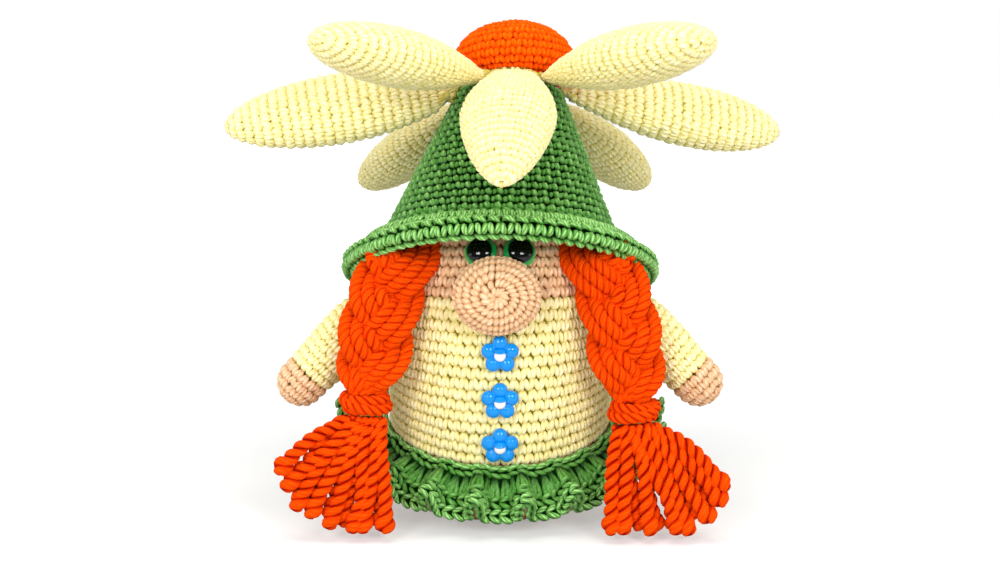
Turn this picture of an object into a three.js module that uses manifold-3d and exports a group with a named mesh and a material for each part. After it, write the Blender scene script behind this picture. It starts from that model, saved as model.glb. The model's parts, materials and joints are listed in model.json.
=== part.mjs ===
// Crocheted gnome doll with a daisy on its hat, two plaits and a ruffled skirt.
// Millimetres, +Z up, face towards -Y, origin on the flat seat under the hat.
import * as THREE from "three";
import { mergeVertices } from "three/addons/utils/BufferGeometryUtils.js";
import Module from "manifold-3d";

const wasm = await Module();
wasm.setup();

// General
const FIT = 0.3; // gap kept between pieces that touch
const COVER = 3; // thickness of the crocheted fabric
const ROUND = 32; // segments round a large turned piece
const SMALL_ROUND = 14; // segments round a small turned piece

// Stuffed body: one barrel round a spine that bends forwards, then back
const BELLY_R = 44.2;
const BELLY_H = 42;
const BODY_H = 140;
const SEAT_DEPTH = 8.6; // how far under the seat the lower curve would close
const SHOULDER_POWER = 3.2;
const SEAT_POWER = 6;
const SEAT_Y = 4;
const SKIRT_H = 34.8;
const FACE_H = 88;
const SKIRT_LEAN = 14; // degrees that a round leans forwards at the skirt
const HEAD_LEAN = -17; // and at the top of the head
const BASE_STEPS = 4; // facets up each cover
const SHIRT_STEPS = 5;
const HEAD_STEPS = 7;

// Ruffled skirt
const RUFFLE_L = 20;
const RUFFLE_FOLDS = 21;
const RUFFLE_FOLD_DEPTH = 6.2;
const RUFFLE_CURL = 1.3; // sideways at the hem, so that the folds stand on edge
const RUFFLE_T = 3;
const RUFFLE_DROOP_FRONT = 28;
const RUFFLE_DROOP_BACK = 3;

// Hat
const HAT_H = 109.5; // height on the spine where the hat is sewn
const HAT_SIDE = 0.3;
const HAT_BACK = 2.4;
const HAT_LEAN_BACK = 17;
const HAT_LEAN_SIDE = 0.8;
const HAT_SKEW = 0.054; // sideways per height, since the crown sags over
const HAT_R = 45;
const HAT_TOP_R = 21.5;
const CROWN_H = 57;
const BRIM_W = 19.2; // from the seam to the middle of the rolled edge
const BRIM_SLOPE_FRONT = 20.5; // degrees under the seam, less where the face holds it up
const BRIM_SLOPE_BACK = 48;
const BRIM_T = 6.6;
const BEAD_R = 1.7;
const BEAD_TURN = 98; // degrees round the brim from the front
const BEAD_OUT = 6; // from the seam

// Daisy
const EYE_R = 24.6; // the daisy's orange middle
const MIDDLE_RISE = 17;
const MIDDLE_SINK = 10.6;
const MIDDLE_SHIFT = 1.6;
const PETAL_L = 92.5;
const PETAL_W = 35.5;
const PETAL_T = 21.5;
const PETAL_ROOT_SHARE = 0.2; // root width over greatest width
const PETAL_ROOT_FLAT = 0.6; // how much flatter the gathered root is than the rest
const PETAL_WIDEST = 0.58; // share of the length where it is widest
const PETAL_BLUNT = 2; // power of the tip's outline, 2 for an ellipse
const PETAL_SEAT_R = 18.5;
const PETAL_SEAT_H = 1.1; // above the top of the crown
const PETAL_FALL = 8; // degrees that a petal bends down and up at its root
const PETAL_LIFT = 15;
// turn round the flower from the front, rise over level, roll on its own length;
// root, widest and blunt only where a petal's outline differs from the values above
const PETALS = [
  { name: "petal_front", turn: -3, rise: -23, roll: 0, stretch: 1, root: 0.5, widest: 0.42, blunt: 1.5 },
  { name: "petal_front_right", turn: 39, rise: 9.5, roll: 0, stretch: 0.96 },
  { name: "petal_right", turn: 97, rise: -10.6, roll: -29, stretch: 1 },
  { name: "petal_back_right", turn: 143, rise: -27, roll: -10, stretch: 0.93 },
  { name: "petal_back_left", turn: -138, rise: -26.5, roll: 10, stretch: 0.955 },
  { name: "petal_left", turn: -84, rise: -9.3, roll: 37, stretch: 1.055, root: 0.3, widest: 0.52 },
  { name: "petal_front_left", turn: -41, rise: 9.3, roll: 0, stretch: 0.97 },
];

// Face
const DOLL_EYE_R = 6;
const DOLL_EYE_RISE = 3.6;
const DOLL_EYE_DROP = 7.5; // up the spine, from the eyes to the hat's seam
const DOLL_EYE_GAP = 13.8;
const FLANGE_T = 1;
const STEM_R = 1.5;
const STEM_L = 9;
const WASHER_R = 5.5;
const WASHER_T = 2;
const WASHER_SINK = 1.8; // clear of the curve of the fabric
const NOSE_R = 16.4;
const NOSE_T = 19;
const NOSE_RISE = 17.9; // up the spine, from the top button
const NOSE_SIDE = -1.1;
const NOSE_OUT = 6.4; // from the face to the middle of the nose
const NOSE_SQUASH = 0.89;

// Flower buttons
const BUTTON_R = 7.1;
const BUTTON_LOBES = 5;
const BUTTON_LOBE_SHARE = 0.4;
const BUTTON_T = 4.6;
const BUTTON_BEAD_R = 2.2;
const BUTTON_RISE = 8.2; // up the spine, from the skirt to the lowest button
const BUTTON_STEP = 14.4;

// Arms
const ARM_L = 58.5;
const ARM_R = 10.8; // at its thickest
const ARM_TIP_R = 9.5;
const ARM_ROOT_R = 7;
const HAND_L = 14;
const ARM_H = 83.5;
const ARM_TURN = 68; // degrees round the body from the front
const ARM_SLOPE = 45.5; // degrees under level
const ARM_FORWARD = 4;
const ARM_LIFT = 20;

// Plaits
const CORD_R = 2.75; // twisted hair cord
const PLAIT_STRAND_R = 6.2; // a bundle of cords
const PLAIT_SWING = 7.6;
const PLAIT_DEPTH = 3.4;
const PLAIT_PITCH = 52;
const PLAIT_ROOT = { x: 38, y: -38.5, z: 102 };
const PLAIT_MID = { x: 45, y: -45, z: 78 };
const PLAIT_NECK = { x: 49.8, y: -46, leftZ: 53, rightZ: 50 };
const PLAIT_FORWARD = 18; // degrees that a plait swings forwards
const NECK_R = 5.2;
const TIE_H = 7;
const TIE_WALL = 2.7;
const TIE_WIDEN = 1.15;
const TASSEL_KNOT_R = 8.6;
const TASSEL_FRONT = { count: 8, inner: -13, outer: 64, forward: 12.5, long: 42.5, short: 38 };
const TASSEL_BACK = { count: 5, inner: -4, outer: 54, forward: 7, long: 39, short: 36 };
const TASSEL_SPREAD = { left: 1, right: 1.07 };
const TASSEL_FORWARD = 24;

const SHADES = {
  cream: { color: 0xf7e79a, roughness: 0.85 },
  skin: { color: 0xe6b98c, roughness: 0.85 },
  green: { color: 0x5fa148, roughness: 0.8 },
  orange: { color: 0xff5f0f, roughness: 0.85 },
  hair: { color: 0xf0430a, roughness: 0.9 },
  blue: { color: 0x1296ee, roughness: 0.2 },
  white: { color: 0xf6f6f4, roughness: 0.3 },
  black: { color: 0x0a0a0a, roughness: 0.1 },
  fibre: { color: 0xf2f2ee, roughness: 1 },
};

const radians = THREE.MathUtils.degToRad;
const lerp = THREE.MathUtils.lerp;

// Heights up the spine that follow from the sizes above
const buttonHeights = {
  button_bottom: SKIRT_H + BUTTON_RISE,
  button_middle: SKIRT_H + BUTTON_RISE + BUTTON_STEP,
  button_top: SKIRT_H + BUTTON_RISE + 2 * BUTTON_STEP,
};
const noseH = buttonHeights.button_top + NOSE_RISE;
const dollEyeH = HAT_H - DOLL_EYE_DROP;

// Solids and meshes

/** A closed geometry as a manifold solid with its faces pointing out. */
function solidOf(geometry) {
  geometry.deleteAttribute("normal");
  geometry.deleteAttribute("uv");
  const merged = mergeVertices(geometry, 1e-4);
  const place = merged.attributes.position;
  const index = merged.index.array;
  const corners = [0, 1, 2].map(() => new THREE.Vector3());
  const kept = [];
  let volume = 0;
  for (let i = 0; i < index.length; i += 3) {
    const face = [index[i], index[i + 1], index[i + 2]];
    if (new Set(face).size < 3) continue;
    kept.push(face);
    face.forEach((vertex, k) => corners[k].fromBufferAttribute(place, vertex));
    volume += corners[0].dot(corners[1].clone().cross(corners[2]));
  }
  const turned = volume < 0 ? kept.map(([a, b, c]) => [a, c, b]) : kept;
  const mesh = new wasm.Mesh({
    numProp: 3,
    vertProperties: new Float32Array(place.array),
    triVerts: new Uint32Array(turned.flat()),
  });
  return new wasm.Manifold(mesh);
}

/** A named mesh of one solid in one shade. */
function meshOf(name, solid, shade) {
  const { vertProperties, triVerts } = solid.getMesh();
  const geometry = new THREE.BufferGeometry();
  geometry.setAttribute("position", new THREE.BufferAttribute(vertProperties, 3));
  geometry.setIndex(new THREE.BufferAttribute(triVerts, 1));
  geometry.computeVertexNormals();
  const material = new THREE.MeshStandardMaterial({ ...SHADES[shade], metalness: 0 });
  const mesh = new THREE.Mesh(geometry, material);
  mesh.name = name;
  return mesh;
}

function moved(solid, matrix) {
  return solid.transform(matrix.elements);
}

function joined(solids) {
  return solids.reduce((all, solid) => all.add(solid));
}

/** A solid without its sealed hollows or loose crumbs. */
function filled(solid) {
  const bodies = solid.decompose();
  return bodies.reduce((most, body) => (body.volume() > most.volume() ? body : most));
}

/** A profile of [radius, height] points turned round Z. */
function turned(profile, segments = ROUND) {
  const points = profile.map(([r, h]) => new THREE.Vector2(r, h));
  return new THREE.LatheGeometry(points, segments).rotateX(Math.PI / 2);
}

/** Half an ellipsoid's outline, from its lower pole to its upper one. */
function ellipsoidProfile(radius, sink, rise, steps) {
  return Array.from({ length: steps + 1 }, (_, i) => {
    const angle = lerp(-Math.PI / 2, Math.PI / 2, i / steps);
    const depth = angle < 0 ? sink : rise;
    const r = i === 0 || i === steps ? 0 : radius * Math.cos(angle);
    return [r, depth * Math.sin(angle)];
  });
}

/** A round tube along a list of points, closed by flat ends. */
function tube(points, radius, sides, steps) {
  const curve = new THREE.CatmullRomCurve3(points);
  const side = new THREE.Vector3(1, 0, 0);
  const place = [];
  const faces = [];
  for (let i = 0; i <= steps; i += 1) {
    const centre = curve.getPoint(i / steps);
    const along = curve.getTangent(i / steps);
    const up = side.clone().cross(along).normalize();
    const across = along.cross(up).normalize();
    for (let k = 0; k < sides; k += 1) {
      const angle = (2 * Math.PI * k) / sides;
      place.push(...centre.clone()
        .addScaledVector(across, radius * Math.cos(angle))
        .addScaledVector(up, radius * Math.sin(angle)));
      const [a, b] = [i * sides + k, i * sides + ((k + 1) % sides)];
      if (i < steps) faces.push(a, b, b + sides, a, b + sides, a + sides);
    }
  }
  const last = steps * sides;
  for (let k = 2; k < sides; k += 1) {
    faces.push(0, k, k - 1, last, last + k - 1, last + k);
  }
  const geometry = new THREE.BufferGeometry();
  geometry.setAttribute("position", new THREE.Float32BufferAttribute(place, 3));
  geometry.setIndex(faces);
  return solidOf(geometry);
}

/** A frame at a point, with its Z axis along a direction. */
function aimed(point, direction) {
  const turn = new THREE.Quaternion().setFromUnitVectors(
    new THREE.Vector3(0, 0, 1),
    direction.clone().normalize(),
  );
  return new THREE.Matrix4().compose(point, turn, new THREE.Vector3(1, 1, 1));
}

// The bent spine

function leanAt(h) {
  if (h < SKIRT_H) return (SKIRT_LEAN * Math.max(h, 0)) / SKIRT_H;
  return THREE.MathUtils.mapLinear(h, SKIRT_H, BODY_H, SKIRT_LEAN, HEAD_LEAN);
}

/** The frame of the round at a height along the spine. */
function spineFrame(h) {
  const steps = 40;
  const point = new THREE.Vector3(0, SEAT_Y, 0);
  for (let i = 0; i < steps; i += 1) {
    const lean = radians(leanAt((h * (i + 0.5)) / steps));
    point.y -= (Math.sin(lean) * h) / steps;
    point.z += (Math.cos(lean) * h) / steps;
  }
  return new THREE.Matrix4().makeRotationX(radians(leanAt(h))).setPosition(point);
}

function bodyRadius(h) {
  const above = h > BELLY_H;
  const reach = above ? BODY_H - BELLY_H : BELLY_H + SEAT_DEPTH;
  const share = Math.min(Math.abs(h - BELLY_H) / reach, 1);
  return BELLY_R * Math.sqrt(1 - share ** (above ? SHOULDER_POWER : SEAT_POWER));
}

/** A point of the body's outline, moved out square to it; minus moves in. */
function outlinePoint(h, out) {
  if (h >= BODY_H) return [0, BODY_H + out];
  const step = 0.05;
  const slope = (bodyRadius(h + step) - bodyRadius(h - step)) / (2 * step);
  const size = Math.hypot(1, slope);
  return [bodyRadius(h) + out / size, h - (out * slope) / size];
}

/** Outline points between two heights, closer together near the top. */
function outline(from, to, out, steps) {
  const ease = to >= BODY_H ? (w) => 1 - (1 - w) ** 2 : (w) => w;
  return Array.from({ length: steps + 1 }, (_, i) =>
    outlinePoint(lerp(from, to, ease(i / steps)), out));
}

/** A profile turned round the bent spine. */
function bentTurned(profile) {
  const geometry = turned(profile);
  const place = geometry.attributes.position;
  const point = new THREE.Vector3();
  for (let i = 0; i < place.count; i += 1) {
    point.fromBufferAttribute(place, i);
    const frame = spineFrame(point.z);
    point.setZ(0).applyMatrix4(frame);
    place.setXYZ(i, point.x, point.y, point.z);
  }
  return solidOf(geometry);
}

/** The body's whole outline from a height up, moved out square to itself. */
function wholeOutline(from, out) {
  return [
    ...outline(from, SKIRT_H, out, BASE_STEPS),
    ...outline(SKIRT_H, FACE_H, out, SHIRT_STEPS).slice(1),
    ...outline(FACE_H, BODY_H, out, HEAD_STEPS).slice(1),
  ];
}

/** The whole stuffed body as one solid, grown outwards by a clearance. */
function bodyBlock(grow) {
  return bentTurned([[0, -grow], [bodyRadius(0) + grow, -grow], ...wholeOutline(0, grow)]);
}

/** A frame on the body's skin: Z points out, turn is degrees from the front. */
function skinFrame(h, turn, out) {
  const angle = radians(turn);
  const frame = spineFrame(h);
  const [r, outHeight] = outlinePoint(h, out);
  const [r0, h0] = outlinePoint(h, 0);
  const around = new THREE.Vector3(Math.sin(angle), -Math.cos(angle), 0);
  const normal = around.clone().multiplyScalar(r - r0 + 1e-6).setZ(outHeight - h0);
  const point = around.multiplyScalar(r).setZ(outHeight - h0).applyMatrix4(frame);
  return aimed(point, normal.transformDirection(frame));
}

const bodySpace = bodyBlock(FIT);

function baseCover() {
  const inner = outline(COVER, SKIRT_H - FIT / 2, -COVER, BASE_STEPS).reverse();
  return bentTurned([
    [0, 0],
    ...outline(0, SKIRT_H - FIT / 2, 0, BASE_STEPS),
    ...inner,
    [0, COVER],
  ]);
}

function shirt() {
  const from = SKIRT_H + FIT / 2;
  const to = FACE_H - FIT / 2;
  const outer = outline(from, to, 0, SHIRT_STEPS);
  const inner = outline(from, to, -COVER, SHIRT_STEPS).reverse();
  return bentTurned([...outer, ...inner, outer[0]]);
}

function headCover() {
  const from = FACE_H + FIT / 2;
  const outer = outline(from, BODY_H, 0, HEAD_STEPS).reverse();
  const inner = outline(from, BODY_H, -COVER, HEAD_STEPS);
  return bentTurned([...outer, ...inner]);
}

function bodyStuffing() {
  const inset = COVER + FIT;
  return bentTurned([[0, inset], ...wholeOutline(inset, -inset)]);
}

// Skirt

/** A closed ring of equal sections, each a closed loop of points. */
function ringOfSections(sections) {
  const width = sections[0].length;
  const faces = [];
  sections.forEach((_, i) => {
    const near = i * width;
    const far = ((i + 1) % sections.length) * width;
    for (let k = 0; k < width; k += 1) {
      const next = (k + 1) % width;
      faces.push(near + k, far + k, far + next, near + k, far + next, near + next);
    }
  });
  const geometry = new THREE.BufferGeometry();
  const values = sections.flat().flatMap((point) => point.toArray());
  geometry.setAttribute("position", new THREE.Float32BufferAttribute(values, 3));
  geometry.setIndex(faces);
  return solidOf(geometry);
}

const skirtFrame = spineFrame(SKIRT_H);

/** A point of the ruffle's middle surface: turn round the body, share from seam to hem. */
function rufflePoint(turn, share) {
  const facing = ((1 + Math.cos(turn)) / 2) ** 1.5;
  const droop = radians(lerp(RUFFLE_DROOP_BACK, RUFFLE_DROOP_FRONT, facing));
  const phase = RUFFLE_FOLDS * turn;
  const swing = Math.abs(share) ** 1.2;
  const up = RUFFLE_FOLD_DEPTH * (0.2 * Math.cos(2 * phase) - Math.cos(phase)) * swing;
  const out = RUFFLE_L * share;
  const r = bodyRadius(SKIRT_H) + FIT + RUFFLE_T / 4 + out * Math.cos(droop) + up * Math.sin(droop);
  const angle = turn + (RUFFLE_CURL * Math.sin(2 * phase) * swing) / r;
  const z = up * Math.cos(droop) - out * Math.sin(droop);
  return new THREE.Vector3(r * Math.sin(angle), -r * Math.cos(angle), z).applyMatrix4(skirtFrame);
}

/** The same point moved square to the surface, up for a lift above 0. */
function ruffleSide(turn, share, lift) {
  const step = 0.001;
  const across = rufflePoint(turn + step, share).sub(rufflePoint(turn - step, share));
  const outward = rufflePoint(turn, share + step).sub(rufflePoint(turn, share - step));
  return rufflePoint(turn, share).addScaledVector(outward.cross(across).normalize(), -lift);
}

function ruffle() {
  const perFold = 6;
  const shares = [0, 0.5, 1];
  const sections = Array.from({ length: RUFFLE_FOLDS * perFold }, (_, i) => {
    const turn = (2 * Math.PI * i) / (RUFFLE_FOLDS * perFold);
    const top = shares.map((share) => ruffleSide(turn, share, RUFFLE_T / 2));
    const under = shares.map((share) => ruffleSide(turn, share, -RUFFLE_T / 2)).reverse();
    return [...top, ...under];
  });
  return ringOfSections(sections).subtract(bodySpace);
}

// Hat

const hatFrame = new THREE.Matrix4()
  .makeRotationY(radians(HAT_LEAN_SIDE))
  .multiply(new THREE.Matrix4().makeRotationX(radians(-HAT_LEAN_BACK)))
  .setPosition(new THREE.Vector3(HAT_SIDE, HAT_BACK, 0).add(
    new THREE.Vector3().setFromMatrixPosition(spineFrame(HAT_H)),
  ));

const crownFrame = hatFrame.clone().multiply(
  new THREE.Matrix4().makeShear(0, 0, 0, 0, HAT_SKEW, 0),
);

function crownRadius(t) {
  return lerp(HAT_R, HAT_TOP_R, t / CROWN_H);
}

function crown(grow = 0) {
  const roundOff = 2.5;
  return moved(solidOf(turned([
    [0, CROWN_H + grow],
    [HAT_TOP_R - roundOff, CROWN_H + grow],
    [HAT_TOP_R + grow, CROWN_H - roundOff],
    [HAT_R + grow, -grow],
    [HAT_R - COVER - grow, -grow],
    [crownRadius(CROWN_H - COVER) - COVER - grow, CROWN_H - COVER - grow],
    [0, CROWN_H - COVER - grow],
  ])), crownFrame);
}

function hatStuffing() {
  const inset = COVER + FIT;
  const top = CROWN_H - inset;
  const plug = moved(solidOf(turned([
    [0, 0],
    [HAT_R - inset, 0],
    [crownRadius(top) - inset, top],
    [0, top],
  ])), crownFrame);
  return plug.subtract(bodySpace);
}

/** A point of the brim's section at a turn: along its slope and square to it. */
function brimPoint(turn, along, up) {
  const slope = radians(lerp(BRIM_SLOPE_BACK, BRIM_SLOPE_FRONT, ((1 + Math.cos(turn)) / 2) ** 2));
  const r = HAT_R - COVER / 2 + along * Math.cos(slope) + up * Math.sin(slope);
  const t = (up - BRIM_T / 2) * Math.cos(slope) - (along + COVER / 2) * Math.sin(slope) - FIT;
  return new THREE.Vector3(r * Math.sin(turn), -r * Math.cos(turn), t).applyMatrix4(hatFrame);
}

/** Drooping double brim with a rolled edge. */
function brim(grow = 0) {
  const half = BRIM_T / 2 + grow;
  const flat = [-COVER / 2 - grow, BRIM_W / 2, BRIM_W].map((along) => [along, half]);
  const roll = [1 / 4, 1 / 2, 3 / 4].map((share) => {
    const angle = Math.PI * (0.5 - share);
    return [BRIM_W + half * Math.cos(angle), half * Math.sin(angle)];
  });
  const under = flat.map(([along, up]) => [along, -up]).reverse();
  const sections = Array.from({ length: ROUND }, (_, i) =>
    [...flat, ...roll, ...under].map(([along, up]) =>
      brimPoint((2 * Math.PI * i) / ROUND, along, up)));
  return ringOfSections(sections);
}

/** A round bead sewn on top of the brim. */
function brimBead() {
  const point = brimPoint(radians(BEAD_TURN), BEAD_OUT, BRIM_T / 2 + FIT + BEAD_R * 0.8);
  const bead = new THREE.SphereGeometry(BEAD_R, 10, 7).translate(point.x, point.y, point.z);
  return solidOf(bead).subtract(brim(FIT));
}

// Daisy

const flowerFrame = hatFrame.clone().multiply(
  new THREE.Matrix4().makeTranslation(CROWN_H * HAT_SKEW + MIDDLE_SHIFT, 0, CROWN_H),
);

function daisyMiddle(grow = 0) {
  const centre = MIDDLE_SINK + FIT;
  const dome = ellipsoidProfile(EYE_R + grow, MIDDLE_SINK + grow, MIDDLE_RISE + grow, 10)
    .map(([r, h]) => [r, h + centre]);
  return moved(solidOf(turned(dome)), flowerFrame);
}

/** A petal's half-width over its greatest, and how flat it is there, at a share of its length. */
function petalSwell(spec, share) {
  const { root = PETAL_ROOT_SHARE, widest = PETAL_WIDEST, blunt = PETAL_BLUNT } = spec;
  if (share < widest) {
    const rise = Math.sin((Math.PI * share) / (2 * widest));
    const wide = lerp(root, 1, rise);
    return { wide, flat: lerp(root * PETAL_ROOT_FLAT, 1, rise) / wide };
  }
  const beyond = Math.min((share - widest) / (1 - widest), 1);
  return { wide: (1 - beyond ** blunt) ** (1 / blunt), flat: 1 };
}

function petalHinge(petal) {
  const turn = radians(petal.turn);
  const seat = new THREE.Vector3(Math.sin(turn), -Math.cos(turn), 0);
  const out = seat.clone();
  const point = seat.multiplyScalar(PETAL_SEAT_R).setZ(PETAL_SEAT_H).applyMatrix4(flowerFrame);
  const axis = new THREE.Vector3(-Math.cos(turn), -Math.sin(turn), 0);
  return { point, out, axis };
}

/** Turns a frame about a hinge by degrees. */
function swung({ point, axis }, degrees) {
  const turn = new THREE.Matrix4().makeRotationAxis(axis, radians(degrees));
  const back = new THREE.Matrix4().makeTranslation(-point.x, -point.y, -point.z);
  const out = new THREE.Matrix4().makeTranslation(point.x, point.y, point.z);
  return out.multiply(turn).multiply(back);
}

/** Cuts a moving piece so that it clears still ones at rest and at its limits. */
function clearOf(solid, still, hinge, limits) {
  return [0, ...limits].reduce(
    (left, limit) => left.subtract(moved(still, swung(hinge, -limit))),
    solid,
  );
}

function petal(spec, still) {
  const rings = 9;
  const length = PETAL_L * spec.stretch;
  const bulk = Array.from({ length: rings + 1 }, (_, i) => {
    const share = Math.sin((Math.PI / 2) * (i / rings));
    return [(PETAL_W / 2) * petalSwell(spec, share).wide, length * share];
  });
  const spindle = turned([[0, 0], ...bulk], SMALL_ROUND);
  const points = spindle.attributes.position;
  for (let i = 0; i < points.count; i += 1) {
    const flat = petalSwell(spec, points.getZ(i) / length).flat * (PETAL_T / PETAL_W);
    points.setY(i, points.getY(i) * flat);
  }
  spindle.rotateX(Math.PI / 2);
  const place = new THREE.Matrix4()
    .makeRotationZ(radians(spec.turn))
    .multiply(new THREE.Matrix4().makeRotationX(radians(-spec.rise)))
    .multiply(new THREE.Matrix4().makeRotationY(radians(spec.roll)));
  const hinge = petalHinge(spec);
  const solid = moved(moved(solidOf(spindle), place),
    new THREE.Matrix4().setPosition(hinge.point));
  return filled(clearOf(solid, still, hinge, [-PETAL_FALL, PETAL_LIFT]));
}

// Face

function dollEyeFrame(side) {
  const turn = THREE.MathUtils.radToDeg(Math.asin(DOLL_EYE_GAP / 2 / bodyRadius(dollEyeH)));
  const sagitta = DOLL_EYE_R ** 2 / (2 * bodyRadius(dollEyeH));
  return skinFrame(dollEyeH, side * turn, sagitta + FIT);
}

/** An eye's flange and dome in profile, grown by a clearance. */
function eyeHead(grow) {
  const dome = ellipsoidProfile(DOLL_EYE_R + grow, 0, DOLL_EYE_RISE + grow, 8)
    .slice(5)
    .map(([r, h]) => [r, h + FLANGE_T]);
  return [[DOLL_EYE_R + grow, 0], [DOLL_EYE_R + grow, FLANGE_T], ...dome];
}

function dollEye() {
  const stem = [[0, -STEM_L], [STEM_R, -STEM_L], [STEM_R, 0]];
  return solidOf(turned([...stem, ...eyeHead(0)], 18));
}

/** The room that an eye's head takes up in front of the fabric. */
function eyeSpace() {
  return solidOf(turned([[0, 0], ...eyeHead(FIT)], 18));
}

function stemSpace() {
  const r = STEM_R + FIT;
  return solidOf(turned([[0, -STEM_L - FIT], [r, -STEM_L - FIT], [r, 1], [0, 1]], 12));
}

const washerTop = -(DOLL_EYE_R ** 2) / (2 * bodyRadius(dollEyeH)) - COVER - WASHER_SINK;

function eyeWasher() {
  const hole = STEM_R + FIT;
  const loop = [
    [hole, washerTop - WASHER_T],
    [WASHER_R, washerTop - WASHER_T],
    [WASHER_R, washerTop],
    [hole, washerTop],
  ];
  return solidOf(turned([...loop, loop[0]], 16));
}

/** The room that a washer takes up in the stuffing, open towards the fabric. */
function washerSpace() {
  const r = WASHER_R + FIT;
  const bottom = washerTop - WASHER_T - FIT;
  return solidOf(turned([[0, bottom], [r, bottom], [r, 1], [0, 1]], 16));
}

function nose(grow = 0) {
  const ball = turned(ellipsoidProfile(NOSE_R + grow, NOSE_T / 2 + grow, NOSE_T / 2 + grow, 12), 26);
  ball.scale(1, NOSE_SQUASH, 1).rotateX(Math.PI / 2 - radians(6));
  const face = new THREE.Vector3(NOSE_SIDE, -bodyRadius(noseH) - NOSE_OUT, 0);
  const frame = spineFrame(noseH);
  return moved(solidOf(ball), new THREE.Matrix4().setPosition(face.applyMatrix4(frame)));
}

// Buttons

function buttonFrame(h) {
  return skinFrame(h, 0, BUTTON_T / 2 - 0.2);
}

function buttonBead(grow = 0) {
  const bead = new THREE.SphereGeometry(BUTTON_BEAD_R + grow, 10, 6);
  return solidOf(bead.translate(0, 0, BUTTON_T * 0.28));
}

function button(h) {
  const lobeR = BUTTON_R * BUTTON_LOBE_SHARE;
  const lobes = Array.from({ length: BUTTON_LOBES }, (_, i) => {
    const angle = Math.PI / 2 + (2 * Math.PI * i) / BUTTON_LOBES;
    const lobe = new THREE.SphereGeometry(lobeR, 8, 5);
    lobe.scale(1, 1, BUTTON_T / 2 / lobeR);
    const reach = BUTTON_R - lobeR;
    return solidOf(lobe.translate(reach * Math.cos(angle), reach * Math.sin(angle), 0));
  });
  const core = solidOf(turned([
    [0, -BUTTON_T / 2], [BUTTON_R / 2, -BUTTON_T / 2], [BUTTON_R / 2, 0], [0, 0],
  ], SMALL_ROUND));
  return moved(joined([...lobes, core]).subtract(buttonBead(FIT)), buttonFrame(h))
    .subtract(bodySpace);
}

// Arms

function armHinge(side) {
  const frame = skinFrame(ARM_H, side * ARM_TURN, ARM_ROOT_R + FIT);
  const point = new THREE.Vector3().setFromMatrixPosition(frame);
  return { point, axis: new THREE.Vector3(0, -side, 0) };
}

function armRadius(share) {
  const thick = lerp(ARM_R, ARM_TIP_R, THREE.MathUtils.smoothstep(share, 0.5, 1));
  return lerp(ARM_ROOT_R, thick, THREE.MathUtils.smoothstep(share, 0, 0.4));
}

/** A stretch of an arm between two lengths, round at the arm's own ends. */
function armStretch(side, from, to, still) {
  const steps = 5;
  const tipStart = ARM_L - ARM_TIP_R;
  const bulk = Array.from({ length: steps + 1 }, (_, i) => {
    const z = lerp(Math.max(from, ARM_ROOT_R), Math.min(to, tipStart), i / steps);
    return [armRadius(z / tipStart), z];
  });
  const corner = (angle, r, z) => [r * Math.cos(angle), z + r * Math.sin(angle)];
  const quarter = [1, 2, 3].map((i) => (Math.PI / 8) * i);
  const root = quarter.map((angle) => corner(angle - Math.PI / 2, ARM_ROOT_R, ARM_ROOT_R));
  const tip = quarter.map((angle) => corner(angle, ARM_TIP_R, tipStart));
  const start = from === 0 ? root : [];
  const end = to === ARM_L ? tip : [];
  const profile = [[0, from], ...start, ...bulk, ...end, [0, to]];
  const slope = radians(ARM_SLOPE);
  const along = new THREE.Vector3(
    side * Math.cos(slope),
    -Math.sin(radians(ARM_FORWARD)),
    -Math.sin(slope),
  ).normalize();
  const hinge = armHinge(side);
  const start3 = hinge.point.clone().addScaledVector(along, -ARM_ROOT_R);
  const solid = moved(solidOf(turned(profile, SMALL_ROUND + 2)), aimed(start3, along));
  return clearOf(solid, still, hinge, [ARM_LIFT]);
}

// Plaits and tassels

function plaitHinge(side) {
  const { x, y, z } = PLAIT_ROOT;
  return { point: new THREE.Vector3(side * x, y, z), axis: new THREE.Vector3(-1, 0, 0) };
}

function neckAt(side) {
  const z = side < 0 ? PLAIT_NECK.leftZ : PLAIT_NECK.rightZ;
  return new THREE.Vector3(side * PLAIT_NECK.x, PLAIT_NECK.y, z);
}

/** Three bundles of cord laid over each other, drawn in to the neck. */
function plait(side, still) {
  const root = plaitHinge(side).point;
  const mid = new THREE.Vector3(side * PLAIT_MID.x, PLAIT_MID.y, PLAIT_MID.z);
  const neck = neckAt(side);
  const line = new THREE.CatmullRomCurve3([root, mid, neck]);
  const turns = line.getLength() / PLAIT_PITCH;
  const steps = 18;
  const bundle = (index) => Array.from({ length: steps + 1 }, (_, i) => {
    const share = i / steps;
    const phase = 2 * Math.PI * (turns * share + index / 3);
    const tight = 1 - 0.72 * THREE.MathUtils.smoothstep(share, 0.72, 1);
    return line.getPointAt(share).add(new THREE.Vector3(
      side * PLAIT_SWING * tight * Math.sin(phase),
      PLAIT_DEPTH * tight * Math.sin(2 * phase),
      0,
    ));
  });
  const bundles = [0, 1, 2].map((index) => tube(bundle(index), PLAIT_STRAND_R, 6, steps));
  const plug = solidOf(turned([
    [0, -TIE_H], [NECK_R, -TIE_H], [NECK_R, 4], [0, 4],
  ], SMALL_ROUND).scale(TIE_WIDEN, 1, 1).translate(neck.x, neck.y, neck.z));
  const below = solidOf(turned([
    [0, -2 * TIE_H], [4 * NECK_R, -2 * TIE_H], [4 * NECK_R, FIT], [0, FIT],
  ], SMALL_ROUND).translate(neck.x, neck.y, neck.z));
  const body = filled(joined(bundles)).subtract(below).add(plug);
  return filled(clearOf(body, still, plaitHinge(side), [PLAIT_FORWARD]));
}

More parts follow.
